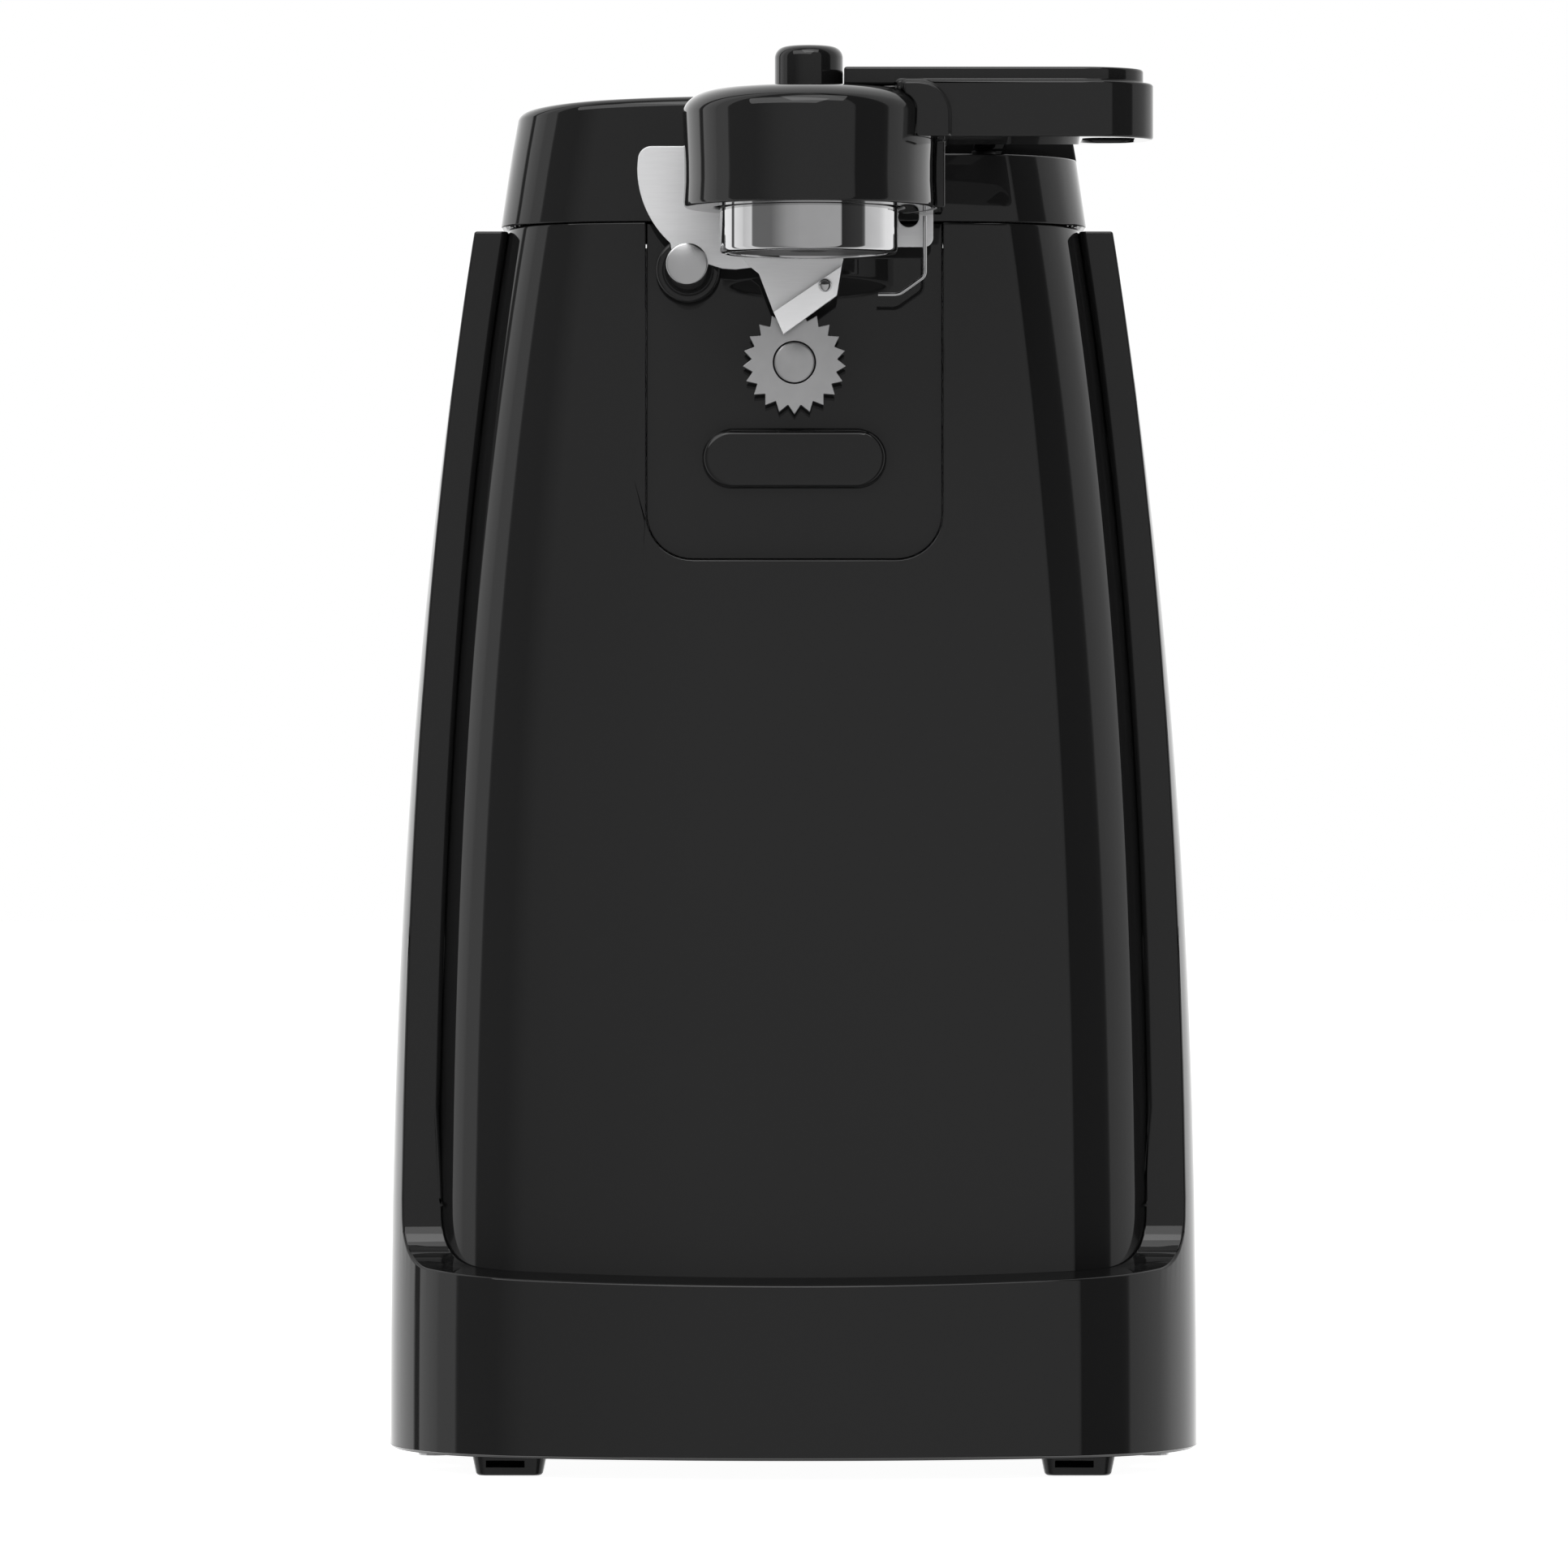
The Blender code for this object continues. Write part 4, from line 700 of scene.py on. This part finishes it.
def make_drive_wheel():
    """Pointed star wheel with fine broken edges."""
    outline = []
    for i in range(WHEEL_TEETH):
        middle = -math.pi / 2 + 2 * math.pi * i / WHEEL_TEETH
        outline.append((WHEEL_TIP * math.cos(middle), WHEEL_TIP * math.sin(middle)))
        valley = middle + math.pi / WHEEL_TEETH
        outline.append((WHEEL_ROOT * math.cos(valley), WHEEL_ROOT * math.sin(valley)))
    wheel = sheet("toothed_wheel", outline, (0, WHEEL_THICKNESS),
                  (DRIVE_X, WHEEL_FRONT + WHEEL_THICKNESS, DRIVE_Z), FACE_FRONT)
    cut(wheel, bar_y("wheel_bore", SHAFT_RADIUS + 0.1, (-40, 0), DRIVE_X, DRIVE_Z, 96))
    return soften(wheel, 0.1, 2)


def make_drive_shaft():
    """Round shaft whose end shows in the middle of the wheel."""
    front = -WHEEL_FRONT
    profile = [(0, front + 0.12), (SHAFT_RADIUS - 0.45, front + 0.12),
               (SHAFT_RADIUS - 0.15, front), (SHAFT_RADIUS, front - 0.3), (SHAFT_RADIUS, 0.0),
               (2.4, 0.0), (2.4, -10.5), (0, -10.5)]
    shaft = turned("wheel_shaft", profile, (DRIVE_X, 0, DRIVE_Z), FACE_FRONT, 96)
    return soften(shaft, 0.05, 2)


# ---------------------------------------------------------------- lever

def make_cutter_plate():
    """Stamped steel plate with a finger, an ear round the pin and a tail with a hole."""
    top, right = 217.2, 22.7
    outline = arc((20.7, top - 2), 2.0, 0, 90, 8)
    outline += arc((-23.2, top - 2.2), 2.2, 90, 180, 8)
    outline += arc((-9.1, 213.6), 16.4, 180, 228, 16)
    outline += arc((PIVOT_X, PIVOT_Z), 2.8, 150, 370, 24)
    outline += [(-13.9, 198.0), (-11.7, 197.3), (-9.5, 197.15), (-7.3, 197.4), (5.0, 198.6),
                (8.5, 200.8)]
    outline += arc((right - 1.5, 202.3), 1.5, 270, 360, 8)
    plate = sheet_xz("steel_plate", outline, (PLATE_FACE, PLATE_FACE + PLATE_THICKNESS))
    holes = [bar_y("pin_way", PIN_SHAFT_RADIUS + 0.25, (-40, 0), PIVOT_X, PIVOT_Z),
             bar_y("tail_hole", 1.7, (-40, 0), 18.7, 205.7)]
    holes += [bar_y(f"screw_way_{i}", 1.5, (-40, 0), x, z)
              for i, (x, z) in enumerate(LEVER_SCREWS)]
    return soften(cut(plate, *holes), 0.12, 2)


def make_blade_carrier():
    """Pointed steel tongue that holds the blade."""
    outline = [(8.2, 205.6), (-8.6, 205.6), (-8.6, 199.3), (-7.1, 197.5), (-5.7, 196.4),
               *BLADE, (8.2, 199.6)]
    carrier = sheet_xz("blade_tongue", outline, (PLATE_FACE - 1.2, PLATE_FACE - 0.2))
    cut(carrier, bar_y("rivet_way", 0.9, (-40, 0), RIVET_X, RIVET_Z))
    return soften(carrier, 0.1, 2)


def make_cutting_blade():
    """Ground blade in front of the tongue, with fine broken edges."""
    blade = sheet_xz("ground_blade", BLADE, (PLATE_FACE - 2.3, PLATE_FACE - 1.4))
    cut(blade, bar_y("blade_rivet_way", 0.9, (-40, 0), RIVET_X, RIVET_Z))
    return soften(blade, 0.12, 2)


def make_rivet():
    """Domed rivet head."""
    front = -(PLATE_FACE - 2.3) + 0.2
    profile = [(0, front + 0.55), (0.5, front + 0.5), (0.85, front + 0.33), (1.05, front + 0.1),
               (1.1, front), (0.7, front), (0.7, -PLATE_FACE), (1.3, -PLATE_FACE),
               (1.3, -PLATE_FACE - 0.7), (0, -PLATE_FACE - 0.7)]
    return soften(turned("blade_pin", profile, (RIVET_X, 0, RIVET_Z), FACE_FRONT, 48), 0)


def shoulder_curve(grow):
    """The round housing's upper edge and side, as (radius, height), moved outwards."""
    points = []
    for i in range(15):
        angle = math.pi / 2 * i / 14
        points.append((14.4 + (5.95 + grow) * math.sin(angle),
                       221.0 + (3.92 + grow) * math.cos(angle)))
    return points + [(20.2 + grow, 217.0), (20.05 + grow, 213.0), (20.05 + grow, 210.0),
                     (DOME_RADIUS + grow, 206.9)]


def make_magnet_housing():
    """Round glossy housing over the magnet, flat at the back."""
    well, boss = KNOB_RADIUS + 0.4, KNOB_RADIUS + 2.1
    profile = [(STEM_RADIUS + 0.3, 217.5), (well, 217.5), (well, 224.6), (well + 0.35, DOME_TOP)]
    profile += [(10.0, 224.99), (12.5, 224.96)]
    profile += shoulder_curve(0.0)
    profile += [(DOME_RADIUS - 0.1, 206.3), (DOME_RADIUS - 0.4, DOME_BOTTOM),
                (15.5, DOME_BOTTOM), (15.2, 206.3), (15.2, 221.4), (boss, 221.4),
                (boss, 215.2), (STEM_RADIUS + 0.3, 215.2)]
    dome = turned("magnet_cover", profile, (DOME_X, DOME_Y, 0), UPRIGHT, 160)
    cut(dome, box("dome_back", (-40, DOME_BACK, 190), (40, -5, 240)),
        bar_y("dome_screw", 1.4, (-28.0, DOME_BACK + 5), *LEVER_SCREWS[0]))
    return soften(dome, 0.2, 2, 40)


def arm_outline(left, inset):
    """The arm's plan: square where it starts over the round housing, rounded at its far end."""
    reach, length = ARM_HALF_DEPTH - inset, ARM_END - inset
    centre = ARM_RIGHT - ARM_END
    end = [(centre + length * x, ARM_Y + reach * y) for x, y in arc((0, 0), 1.0, -90, 90, 40)]
    return [(left, ARM_Y + reach), (left, ARM_Y - reach)] + end


def make_lever_handle():
    """Press handle with a raised rim, a rounded root and a tab for the switch."""
    arm = sheet("handle", arm_outline(ARM_LEFT + ARM_SETBACK, 0.0), ARM_Z)
    rim = sheet("handle_rim", arm_outline(ARM_LEFT, RIM_INSET), (225.2, RIM_TOP))
    top, corner = ARM_Z[1] - 0.2, HUB_CORNER
    hub_outline = [(17.5, top), (17.5, ARM_Z[0]), (HUB_RIGHT, ARM_Z[0])]
    hub_outline += arc((HUB_RIGHT - corner, top - corner), corner, 0, 90, 16)
    hub = sheet_xz("handle_hub", hub_outline, (HUB_FRONT, DOME_BACK))
    wall = box("handle_wall", (17.5, ARM_Y, DOME_BOTTOM), (24.3, DOME_BACK, 220.0))
    tab = box("handle_tab", (TAB_X[0], ARM_Y, TAB_Z[0]), (TAB_X[1], 1.5, TAB_Z[1]))
    low, high = (46.5, ARM_Y - 6.0), (54.6, ARM_Y + 6.0)
    hollow = [((low[0] + high[0]) / 2 + x, ARM_Y + y) for x, y in round_block(8.1, 12.0, 2.5)]
    join(arm, rim, hub, wall, tab)
    cut(arm, sheet("handle_hollow", hollow, (ARM_Z[0] - 2.0, ARM_Z[0] + 6.0)),
        turned("dome_way", [(0, 225.1)] + shoulder_curve(0.12) + [(20.5, 200.0), (0, 200.0)],
               (DOME_X, DOME_Y, 0), UPRIGHT, 160),
        bar_y("handle_screw", 1.4, (-30.6, DOME_BACK + 5), *LEVER_SCREWS[1]),
        bar("knob_way", KNOB_RADIUS + 0.6, (190, 240), (DOME_X, DOME_Y, 0), UPRIGHT, 96))
    return soften(arm, 0.45, 3, 28, 0.05)


def curve_wire(name, points, radius):
    """A round wire along a path, as a mesh."""
    curve = bpy.data.curves.new(name, "CURVE")
    curve.dimensions = "3D"
    curve.bevel_depth = radius * MM
    curve.bevel_resolution = 6
    curve.use_fill_caps = True
    curve.resolution_u = 8
    spline = curve.splines.new("POLY")
    spline.points.add(len(points) - 1)
    for point, place in zip(spline.points, points):
        point.co = (*[value * MM for value in place], 1.0)
    source = bpy.data.objects.new(name + "_path", curve)
    bpy.context.scene.collection.objects.link(source)
    bpy.context.view_layer.update()
    graph = bpy.context.evaluated_depsgraph_get()
    mesh = bpy.data.meshes.new_from_object(source.evaluated_get(graph))
    bpy.data.objects.remove(source, do_unlink=True)
    obj = bpy.data.objects.new(name, mesh)
    bpy.context.scene.collection.objects.link(obj)
    mesh.shade_smooth()
    return obj


def round_path(points, radius, steps=6):
    """A path whose corners are rounded."""
    result = [points[0]]
    for before, corner, after in zip(points, points[1:], points[2:]):
        before, corner, after = Vector(before), Vector(corner), Vector(after)
        start = corner + (before - corner).normalized() * radius
        end = corner + (after - corner).normalized() * radius
        for i in range(steps + 1):
            t = i / steps
            result.append(tuple((1 - t) ** 2 * start + 2 * t * (1 - t) * corner + t * t * end))
    result.append(points[-1])
    return result


def make_lid_guide_wire():
    """Bent chrome wire beside the magnet."""
    y = -27.6
    points = [(21.3, y, 205.7), (21.3, y, 195.9), (17.1, y, 192.9), (13.7, y, 192.9)]
    return curve_wire("guide_wire", round_path(points, 0.8), 0.33)


def make_spring(name, radius, low, high, turns, x, y):
    """A compression spring standing between two heights."""
    wire_radius, per_turn = 0.3, 32
    count = int(turns * per_turn)
    low, high = low + wire_radius, high - wire_radius
    points = []
    for i in range(count + 1):
        angle = 2 * math.pi * i / per_turn
        points.append((x + radius * math.cos(angle), y + radius * math.sin(angle),
                       low + (high - low) * i / count))
    return curve_wire(name, points, wire_radius)


# ---------------------------------------------------------------- magnet

def make_magnet_cup():
    """Chrome cup with a rolled lower edge and a flat upper rim."""
    low, high = MAGNET_Z
    bore, radius = STEM_RADIUS + 0.1, MAGNET_RADIUS
    profile = [(bore, high), (radius - 0.8, high), (radius - 0.3, high - 0.15),
               (radius - 0.05, high - 0.45), (radius, high - 0.9), (radius, low + 0.8),
               (radius - 0.1, low + 0.35), (radius - 0.35, low + 0.08), (radius - 0.7, low),
               (radius - 1.1, low), (radius - 1.4, low + 0.3), (radius - 1.4, high - 1.4),
               (bore, high - 1.4)]
    return soften(turned("lid_magnet_ring", profile, (DOME_X, DOME_Y, 0), UPRIGHT, 160), 0)


def make_magnet_disc():
    """Dark ferrite ring inside the cup."""
    low, high = MAGNET_Z
    bore, radius = 3.0, MAGNET_RADIUS - 1.7
    profile = [(bore, high - 1.8), (radius, high - 1.8), (radius, low + 0.4), (bore, low + 0.4)]
    return soften(turned("ferrite_ring", profile, (DOME_X, DOME_Y, 0), UPRIGHT, 96), 0.15, 2)


def make_magnet_stem():
    """Steel stem between knob and cup."""
    high = MAGNET_Z[1]
    profile = [(0, 229.6), (STEM_RADIUS, 229.6), (STEM_RADIUS, high - 1.8),
               (STEM_RADIUS + 1.0, high - 1.8), (STEM_RADIUS + 1.0, high - 2.8), (0, high - 2.8)]
    return soften(turned("knob_stem", profile, (DOME_X, DOME_Y, 0), UPRIGHT, 64), 0.1, 2)


def make_knob():
    """Push knob with a rounded top."""
    seat, radius, edge = 228.2, KNOB_RADIUS, 1.9
    profile = [(0, KNOB_TOP)]
    for i in range(13):
        angle = math.pi / 2 * i / 12
        profile.append((radius - edge + edge * math.sin(angle),
                        KNOB_TOP - 0.03 - edge + edge * math.cos(angle)))
    profile += [(radius, KNOB_BOTTOM + 0.2), (radius - 0.2, KNOB_BOTTOM), (4.3, KNOB_BOTTOM),
                (4.3, seat), (STEM_RADIUS + 0.1, seat), (STEM_RADIUS + 0.1, 229.9), (0, 229.9)]
    return soften(turned("push_knob", profile, (DOME_X, DOME_Y, 0), UPRIGHT, 96), 0)


def make_plunger():
    """Small dark plunger under the lever's tab."""
    profile = [(0, PLUNGER_TOP), (PLUNGER_RADIUS - 0.6, PLUNGER_TOP - 0.02),
               (PLUNGER_RADIUS - 0.2, PLUNGER_TOP - 0.2), (PLUNGER_RADIUS, PLUNGER_TOP - 0.6),
               (PLUNGER_RADIUS, 212.4), (3.4, 212.4), (3.4, 211.2), (1.5, 211.2),
               (1.5, SWITCH_TOP - 3.5), (0, SWITCH_TOP - 3.5)]
    return soften(turned("switch_pin", profile, (PLUNGER_X, PLUNGER_Y, 0), UPRIGHT, 64), 0)


# ---------------------------------------------------------------- materials

def new_material(name, colour, roughness, metallic=0.0):
    """A Principled material and its node tree."""
    material = bpy.data.materials.new(name)
    material.use_nodes = True
    tree = material.node_tree
    shader = tree.nodes["Principled BSDF"]
    shader.inputs["Base Color"].default_value = (*colour, 1.0)
    shader.inputs["Roughness"].default_value = roughness
    shader.inputs["Metallic"].default_value = metallic
    return material, tree, shader


def noise(tree, scale, detail=4.0, stretch=(1.0, 1.0, 1.0)):
    """A noise texture in object space, as a factor socket."""
    place = tree.nodes.new("ShaderNodeTexCoord")
    mapping = tree.nodes.new("ShaderNodeMapping")
    mapping.inputs["Scale"].default_value = stretch
    texture = tree.nodes.new("ShaderNodeTexNoise")
    texture.inputs["Scale"].default_value = scale
    texture.inputs["Detail"].default_value = detail
    tree.links.new(place.outputs["Object"], mapping.inputs["Vector"])
    tree.links.new(mapping.outputs["Vector"], texture.inputs["Vector"])
    return texture.outputs["Fac"]


def spread(tree, factor, low, high):
    """Map a 0.3 to 0.7 factor onto a range of numbers."""
    ramp = tree.nodes.new("ShaderNodeMapRange")
    ramp.inputs["From Min"].default_value = 0.3
    ramp.inputs["From Max"].default_value = 0.7
    ramp.inputs["To Min"].default_value = low
    ramp.inputs["To Max"].default_value = high
    tree.links.new(factor, ramp.inputs["Value"])
    return ramp.outputs["Result"]


def tint(tree, factor, first, second):
    """Mix two colours by a factor."""
    mix = tree.nodes.new("ShaderNodeMix")
    mix.data_type = "RGBA"
    mix.inputs["A"].default_value = (*first, 1.0)
    mix.inputs["B"].default_value = (*second, 1.0)
    tree.links.new(factor, mix.inputs["Factor"])
    return mix.outputs["Result"]


def bump(tree, shader, height, strength, distance):
    """Add a fine surface relief."""
    node = tree.nodes.new("ShaderNodeBump")
    node.inputs["Strength"].default_value = strength
    node.inputs["Distance"].default_value = distance * MM
    tree.links.new(height, node.inputs["Height"])
    tree.links.new(node.outputs["Normal"], shader.inputs["Normal"])


def plastic(name, dark, light, roughness, relief, grain=900.0):
    """Moulded plastic: slight colour drift, uneven gloss and a fine skin."""
    material, tree, shader = new_material(name, dark, roughness[0])
    drift = noise(tree, 18.0, 3.0)
    tree.links.new(tint(tree, drift, dark, light), shader.inputs["Base Color"])
    wear = noise(tree, 60.0, 6.0)
    tree.links.new(spread(tree, wear, *roughness), shader.inputs["Roughness"])
    shader.inputs["IOR"].default_value = 1.4
    if relief:
        bump(tree, shader, noise(tree, grain, 2.0), relief, 0.05)
    return material


def steel(name, dark, light, roughness, stretch=(1.0, 1.0, 1.0), scale=400.0, relief=0.15,
          metallic=1.0):
    """Metal with fine lines or grain in its colour, gloss and relief."""
    material, tree, shader = new_material(name, dark, roughness[0], metallic)
    lines = noise(tree, scale, 5.0, stretch)
    tree.links.new(tint(tree, lines, dark, light), shader.inputs["Base Color"])
    blotch = noise(tree, 90.0, 4.0)
    tree.links.new(spread(tree, blotch, *roughness), shader.inputs["Roughness"])
    if relief:
        bump(tree, shader, lines, relief, 0.02)
    return material


def grey(level):
    """A neutral colour."""
    return (level, level, level * 1.01)


def make_materials():
    """One material per kind of surface."""
    made = {
        "gloss_black": plastic("gloss_black_look", grey(0.0062), grey(0.0078),
                               (0.018, 0.036), 0.008),
        "matte_black": plastic("matte_black_look", grey(0.011), grey(0.018), (0.42, 0.55), 0.25),
        "rubber": plastic("rubber_look", grey(0.010), grey(0.018), (0.55, 0.75), 0.35),
        "foot_rubber": plastic("foot_rubber_look", grey(0.006), grey(0.009), (0.14, 0.22), 0.05),
        "satin_steel": steel("satin_steel_look", grey(0.70), grey(0.78), (0.36, 0.46),
                             (1.0, 1.0, 14.0), 260.0, 0.10, 0.7),
        "wheel_steel": steel("wheel_steel_look", grey(0.45), grey(0.52), (0.30, 0.38)),
        "ground_steel": steel("ground_steel_look", grey(0.90), grey(0.96), (0.30, 0.38),
                              (1.0, 1.0, 10.0), 300.0, 0.08, 0.6),
        "chrome": steel("chrome_look", grey(0.49), grey(0.53), (0.02, 0.04), relief=0.0),
        "pin_chrome": steel("pin_chrome_look", grey(0.48), grey(0.53), (0.22, 0.30), relief=0.0),
        "bright_steel": steel("bright_steel_look", grey(0.55), grey(0.66), (0.18, 0.28),
                              (1.0, 1.0, 12.0), 300.0, 0.08),
        "zinc_steel": steel("zinc_steel_look", grey(0.42), grey(0.56), (0.34, 0.5)),
        "laminations": steel("laminations_look", grey(0.16), grey(0.30), (0.4, 0.6),
                             (0.05, 60.0, 0.05), 40.0, 0.4),
        "bronze": steel("bronze_look", (0.42, 0.26, 0.11), (0.60, 0.39, 0.18), (0.3, 0.45)),
        "copper": steel("copper_look", (0.60, 0.25, 0.12), (0.80, 0.38, 0.20), (0.25, 0.4),
                        (0.1, 30.0, 30.0), 60.0, 0.4),
        "nylon": plastic("nylon_look", (0.70, 0.68, 0.61), (0.80, 0.78, 0.72), (0.38, 0.5), 0.1),
        "ferrite": plastic("ferrite_look", grey(0.030), grey(0.055), (0.45, 0.65), 0.3),
    }
    return made


def dress(obj, material):
    """Give a whole piece one material."""
    obj.data.materials.clear()
    obj.data.materials.append(material)


def add(piece, node, body, slot, look=None):
    """Let a new piece stand for a CAD node, with its body, slot and material."""
    dress(piece, LOOKS[look or slot])
    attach(piece, body)
    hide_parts(node)
    PIECES[node] = piece
    return piece


def build_pieces():
    """Every visible piece."""
    add(make_rear_housing(), "rear_housing", "housing", "gloss_black")
    add(make_front_shell(), "front_shell", "housing", "gloss_black")
    add(make_top_cap(), "top_cap", "housing", "gloss_black")
    add(make_mechanism_panel(), "mechanism_panel", "housing", "gloss_black")
    add(make_can_rest_pad(), "can_rest_pad", "housing", "gloss_black")
    for place, (x, y) in FEET.items():
        add(make_foot(place, x, y), "foot_" + place, "housing", "rubber", "foot_rubber")
    add(make_inlet(), "cord_inlet", "housing", "rubber")
    add(make_pivot_pin(), "pivot_pin", "housing", "chrome", "pin_chrome")
    add(make_pivot_seat(), "pivot_seat", "housing", "gloss_black")
    add(make_drive_wheel(), "drive_wheel", "drive", "satin_steel", "wheel_steel")
    add(make_drive_shaft(), "drive_shaft", "drive", "bright_steel", "wheel_steel")
    add(make_cutter_plate(), "cutter_plate", "lever", "satin_steel")
    add(make_blade_carrier(), "blade_carrier", "lever", "satin_steel")
    add(make_cutting_blade(), "cutting_blade", "lever", "ground_steel")
    add(make_rivet(), "blade_rivet", "lever", "chrome")
    add(make_magnet_housing(), "magnet_housing", "lever", "gloss_black")
    add(make_lever_handle(), "lever_handle", "lever", "gloss_black")
    add(make_lid_guide_wire(), "lid_guide_wire", "lever", "chrome")
    add(make_magnet_cup(), "lid_magnet_cup", "magnet", "chrome")
    add(make_magnet_disc(), "magnet_disc", "magnet", "ferrite")
    add(make_magnet_stem(), "magnet_stem", "magnet", "bright_steel")
    add(make_knob(), "magnet_knob", "magnet", "gloss_black")
    add(make_plunger(), "switch_plunger", "switch", "matte_black")
    spring = make_spring("knob_spring", 3.2, *KNOB_SPRING, 4, DOME_X, DOME_Y)
    add(spring, "magnet_spring", "lever", "bright_steel")
    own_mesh(spring)
    spring = make_spring("plunger_spring", 2.4, *PLUNGER_SPRING, 3, PLUNGER_X, PLUNGER_Y)
    add(spring, "switch_spring", "housing", "bright_steel")
    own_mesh(spring)


def dress_cad_nodes():
    """The nodes that keep their CAD mesh get the look of their slot."""
    slots = {entry["node"]: entry["material_slot"] for entry in frame["record"]["subparts"]}
    for node, obj in frame["nodes"].items():
        if node not in PIECES:
            look = LOOKS[slots[node]]
            for slot in obj.material_slots:
                slot.material = look


# ---------------------------------------------------------------- studio

def make_world():
    """Soft studio surroundings: pale at the sides and behind, dim in front."""
    world = bpy.data.worlds.new("studio")
    bpy.context.scene.world = world
    world.use_nodes = True
    tree = world.node_tree
    tree.nodes.clear()
    place = tree.nodes.new("ShaderNodeTexCoord")
    split = tree.nodes.new("ShaderNodeSeparateXYZ")
    tree.links.new(place.outputs["Generated"], split.inputs["Vector"])
    angle = tree.nodes.new("ShaderNodeMath")
    angle.operation = "ARCTAN2"
    minus = tree.nodes.new("ShaderNodeMath")
    minus.operation = "MULTIPLY"
    minus.inputs[1].default_value = -1.0
    tree.links.new(split.outputs["Y"], minus.inputs[0])
    tree.links.new(split.outputs["X"], angle.inputs[0])
    tree.links.new(minus.outputs[0], angle.inputs[1])
    scaled = tree.nodes.new("ShaderNodeMapRange")
    scaled.inputs["From Min"].default_value = -math.pi
    scaled.inputs["From Max"].default_value = math.pi
    tree.links.new(angle.outputs[0], scaled.inputs["Value"])
    ramp = tree.nodes.new("ShaderNodeValToRGB")
    while len(ramp.color_ramp.elements) > 1:
        ramp.color_ramp.elements.remove(ramp.color_ramp.elements[-1])
    for i, (degrees, level) in enumerate(SURROUNDINGS):
        position = (degrees + 180) / 360
        stop = ramp.color_ramp.elements[0] if i == 0 else ramp.color_ramp.elements.new(position)
        stop.position = position
        stop.color = (level, level, level, 1.0)
    tree.links.new(scaled.outputs["Result"], ramp.inputs["Fac"])
    seen = tree.nodes.new("ShaderNodeLightPath")
    studio = tree.nodes.new("ShaderNodeBackground")
    studio.inputs["Strength"].default_value = SURROUNDINGS_STRENGTH
    tree.links.new(ramp.outputs["Color"], studio.inputs["Color"])
    white = tree.nodes.new("ShaderNodeBackground")
    white.inputs["Color"].default_value = (1.0, 1.0, 1.0, 1.0)
    mix = tree.nodes.new("ShaderNodeMixShader")
    out = tree.nodes.new("ShaderNodeOutputWorld")
    tree.links.new(seen.outputs["Is Camera Ray"], mix.inputs["Fac"])
    tree.links.new(studio.outputs["Background"], mix.inputs[1])
    tree.links.new(white.outputs["Background"], mix.inputs[2])
    tree.links.new(mix.outputs["Shader"], out.inputs["Surface"])


def area_light(name, at, target, size, power):
    """A soft rectangular lamp aimed at a point, in metres and watts."""
    light = bpy.data.lights.new(name, "AREA")
    light.shape = "RECTANGLE"
    light.size, light.size_y = size
    light.energy = power
    obj = bpy.data.objects.new(name, light)
    obj.location = at
    obj.rotation_euler = (Vector(target) - Vector(at)).to_track_quat("-Z", "Y").to_euler()
    bpy.context.scene.collection.objects.link(obj)
    return obj


def make_floor():
    """Plain pale floor, bright enough to meet the white surroundings."""
    bm = bmesh.new()
    bmesh.ops.create_circle(bm, cap_ends=True, segments=96, radius=6.0)
    floor = make_object("floor", bm)
    material, _, shader = new_material("floor_look", (0.5, 0.5, 0.5), 0.9)
    shader.inputs["Emission Color"].default_value = (1.0, 1.0, 1.0, 1.0)
    shader.inputs["Emission Strength"].default_value = 0.95
    shader.inputs["Specular IOR Level"].default_value = 0.0
    dress(floor, material)
    floor.visible_glossy = False


def make_studio():
    """World, floor, lamps, camera and plain colour handling."""
    make_world()
    make_floor()
    for name, (at, size, power) in LAMPS.items():
        area_light(name, at, LIT_POINT, size, power)
    camera = bpy.data.cameras.new("camera")
    camera.sensor_width = CAMERA_SENSOR
    camera.lens = CAMERA_LENS
    camera.clip_start = 0.01
    obj = bpy.data.objects.new("camera", camera)
    obj.location = CAMERA_AT
    obj.rotation_euler = (math.pi / 2, 0.0, 0.0)
    bpy.context.scene.collection.objects.link(obj)
    bpy.context.scene.camera = obj
    bpy.context.scene.view_settings.view_transform = "Standard"


LOOKS = make_materials()
build_pieces()
dress_cad_nodes()
make_studio()
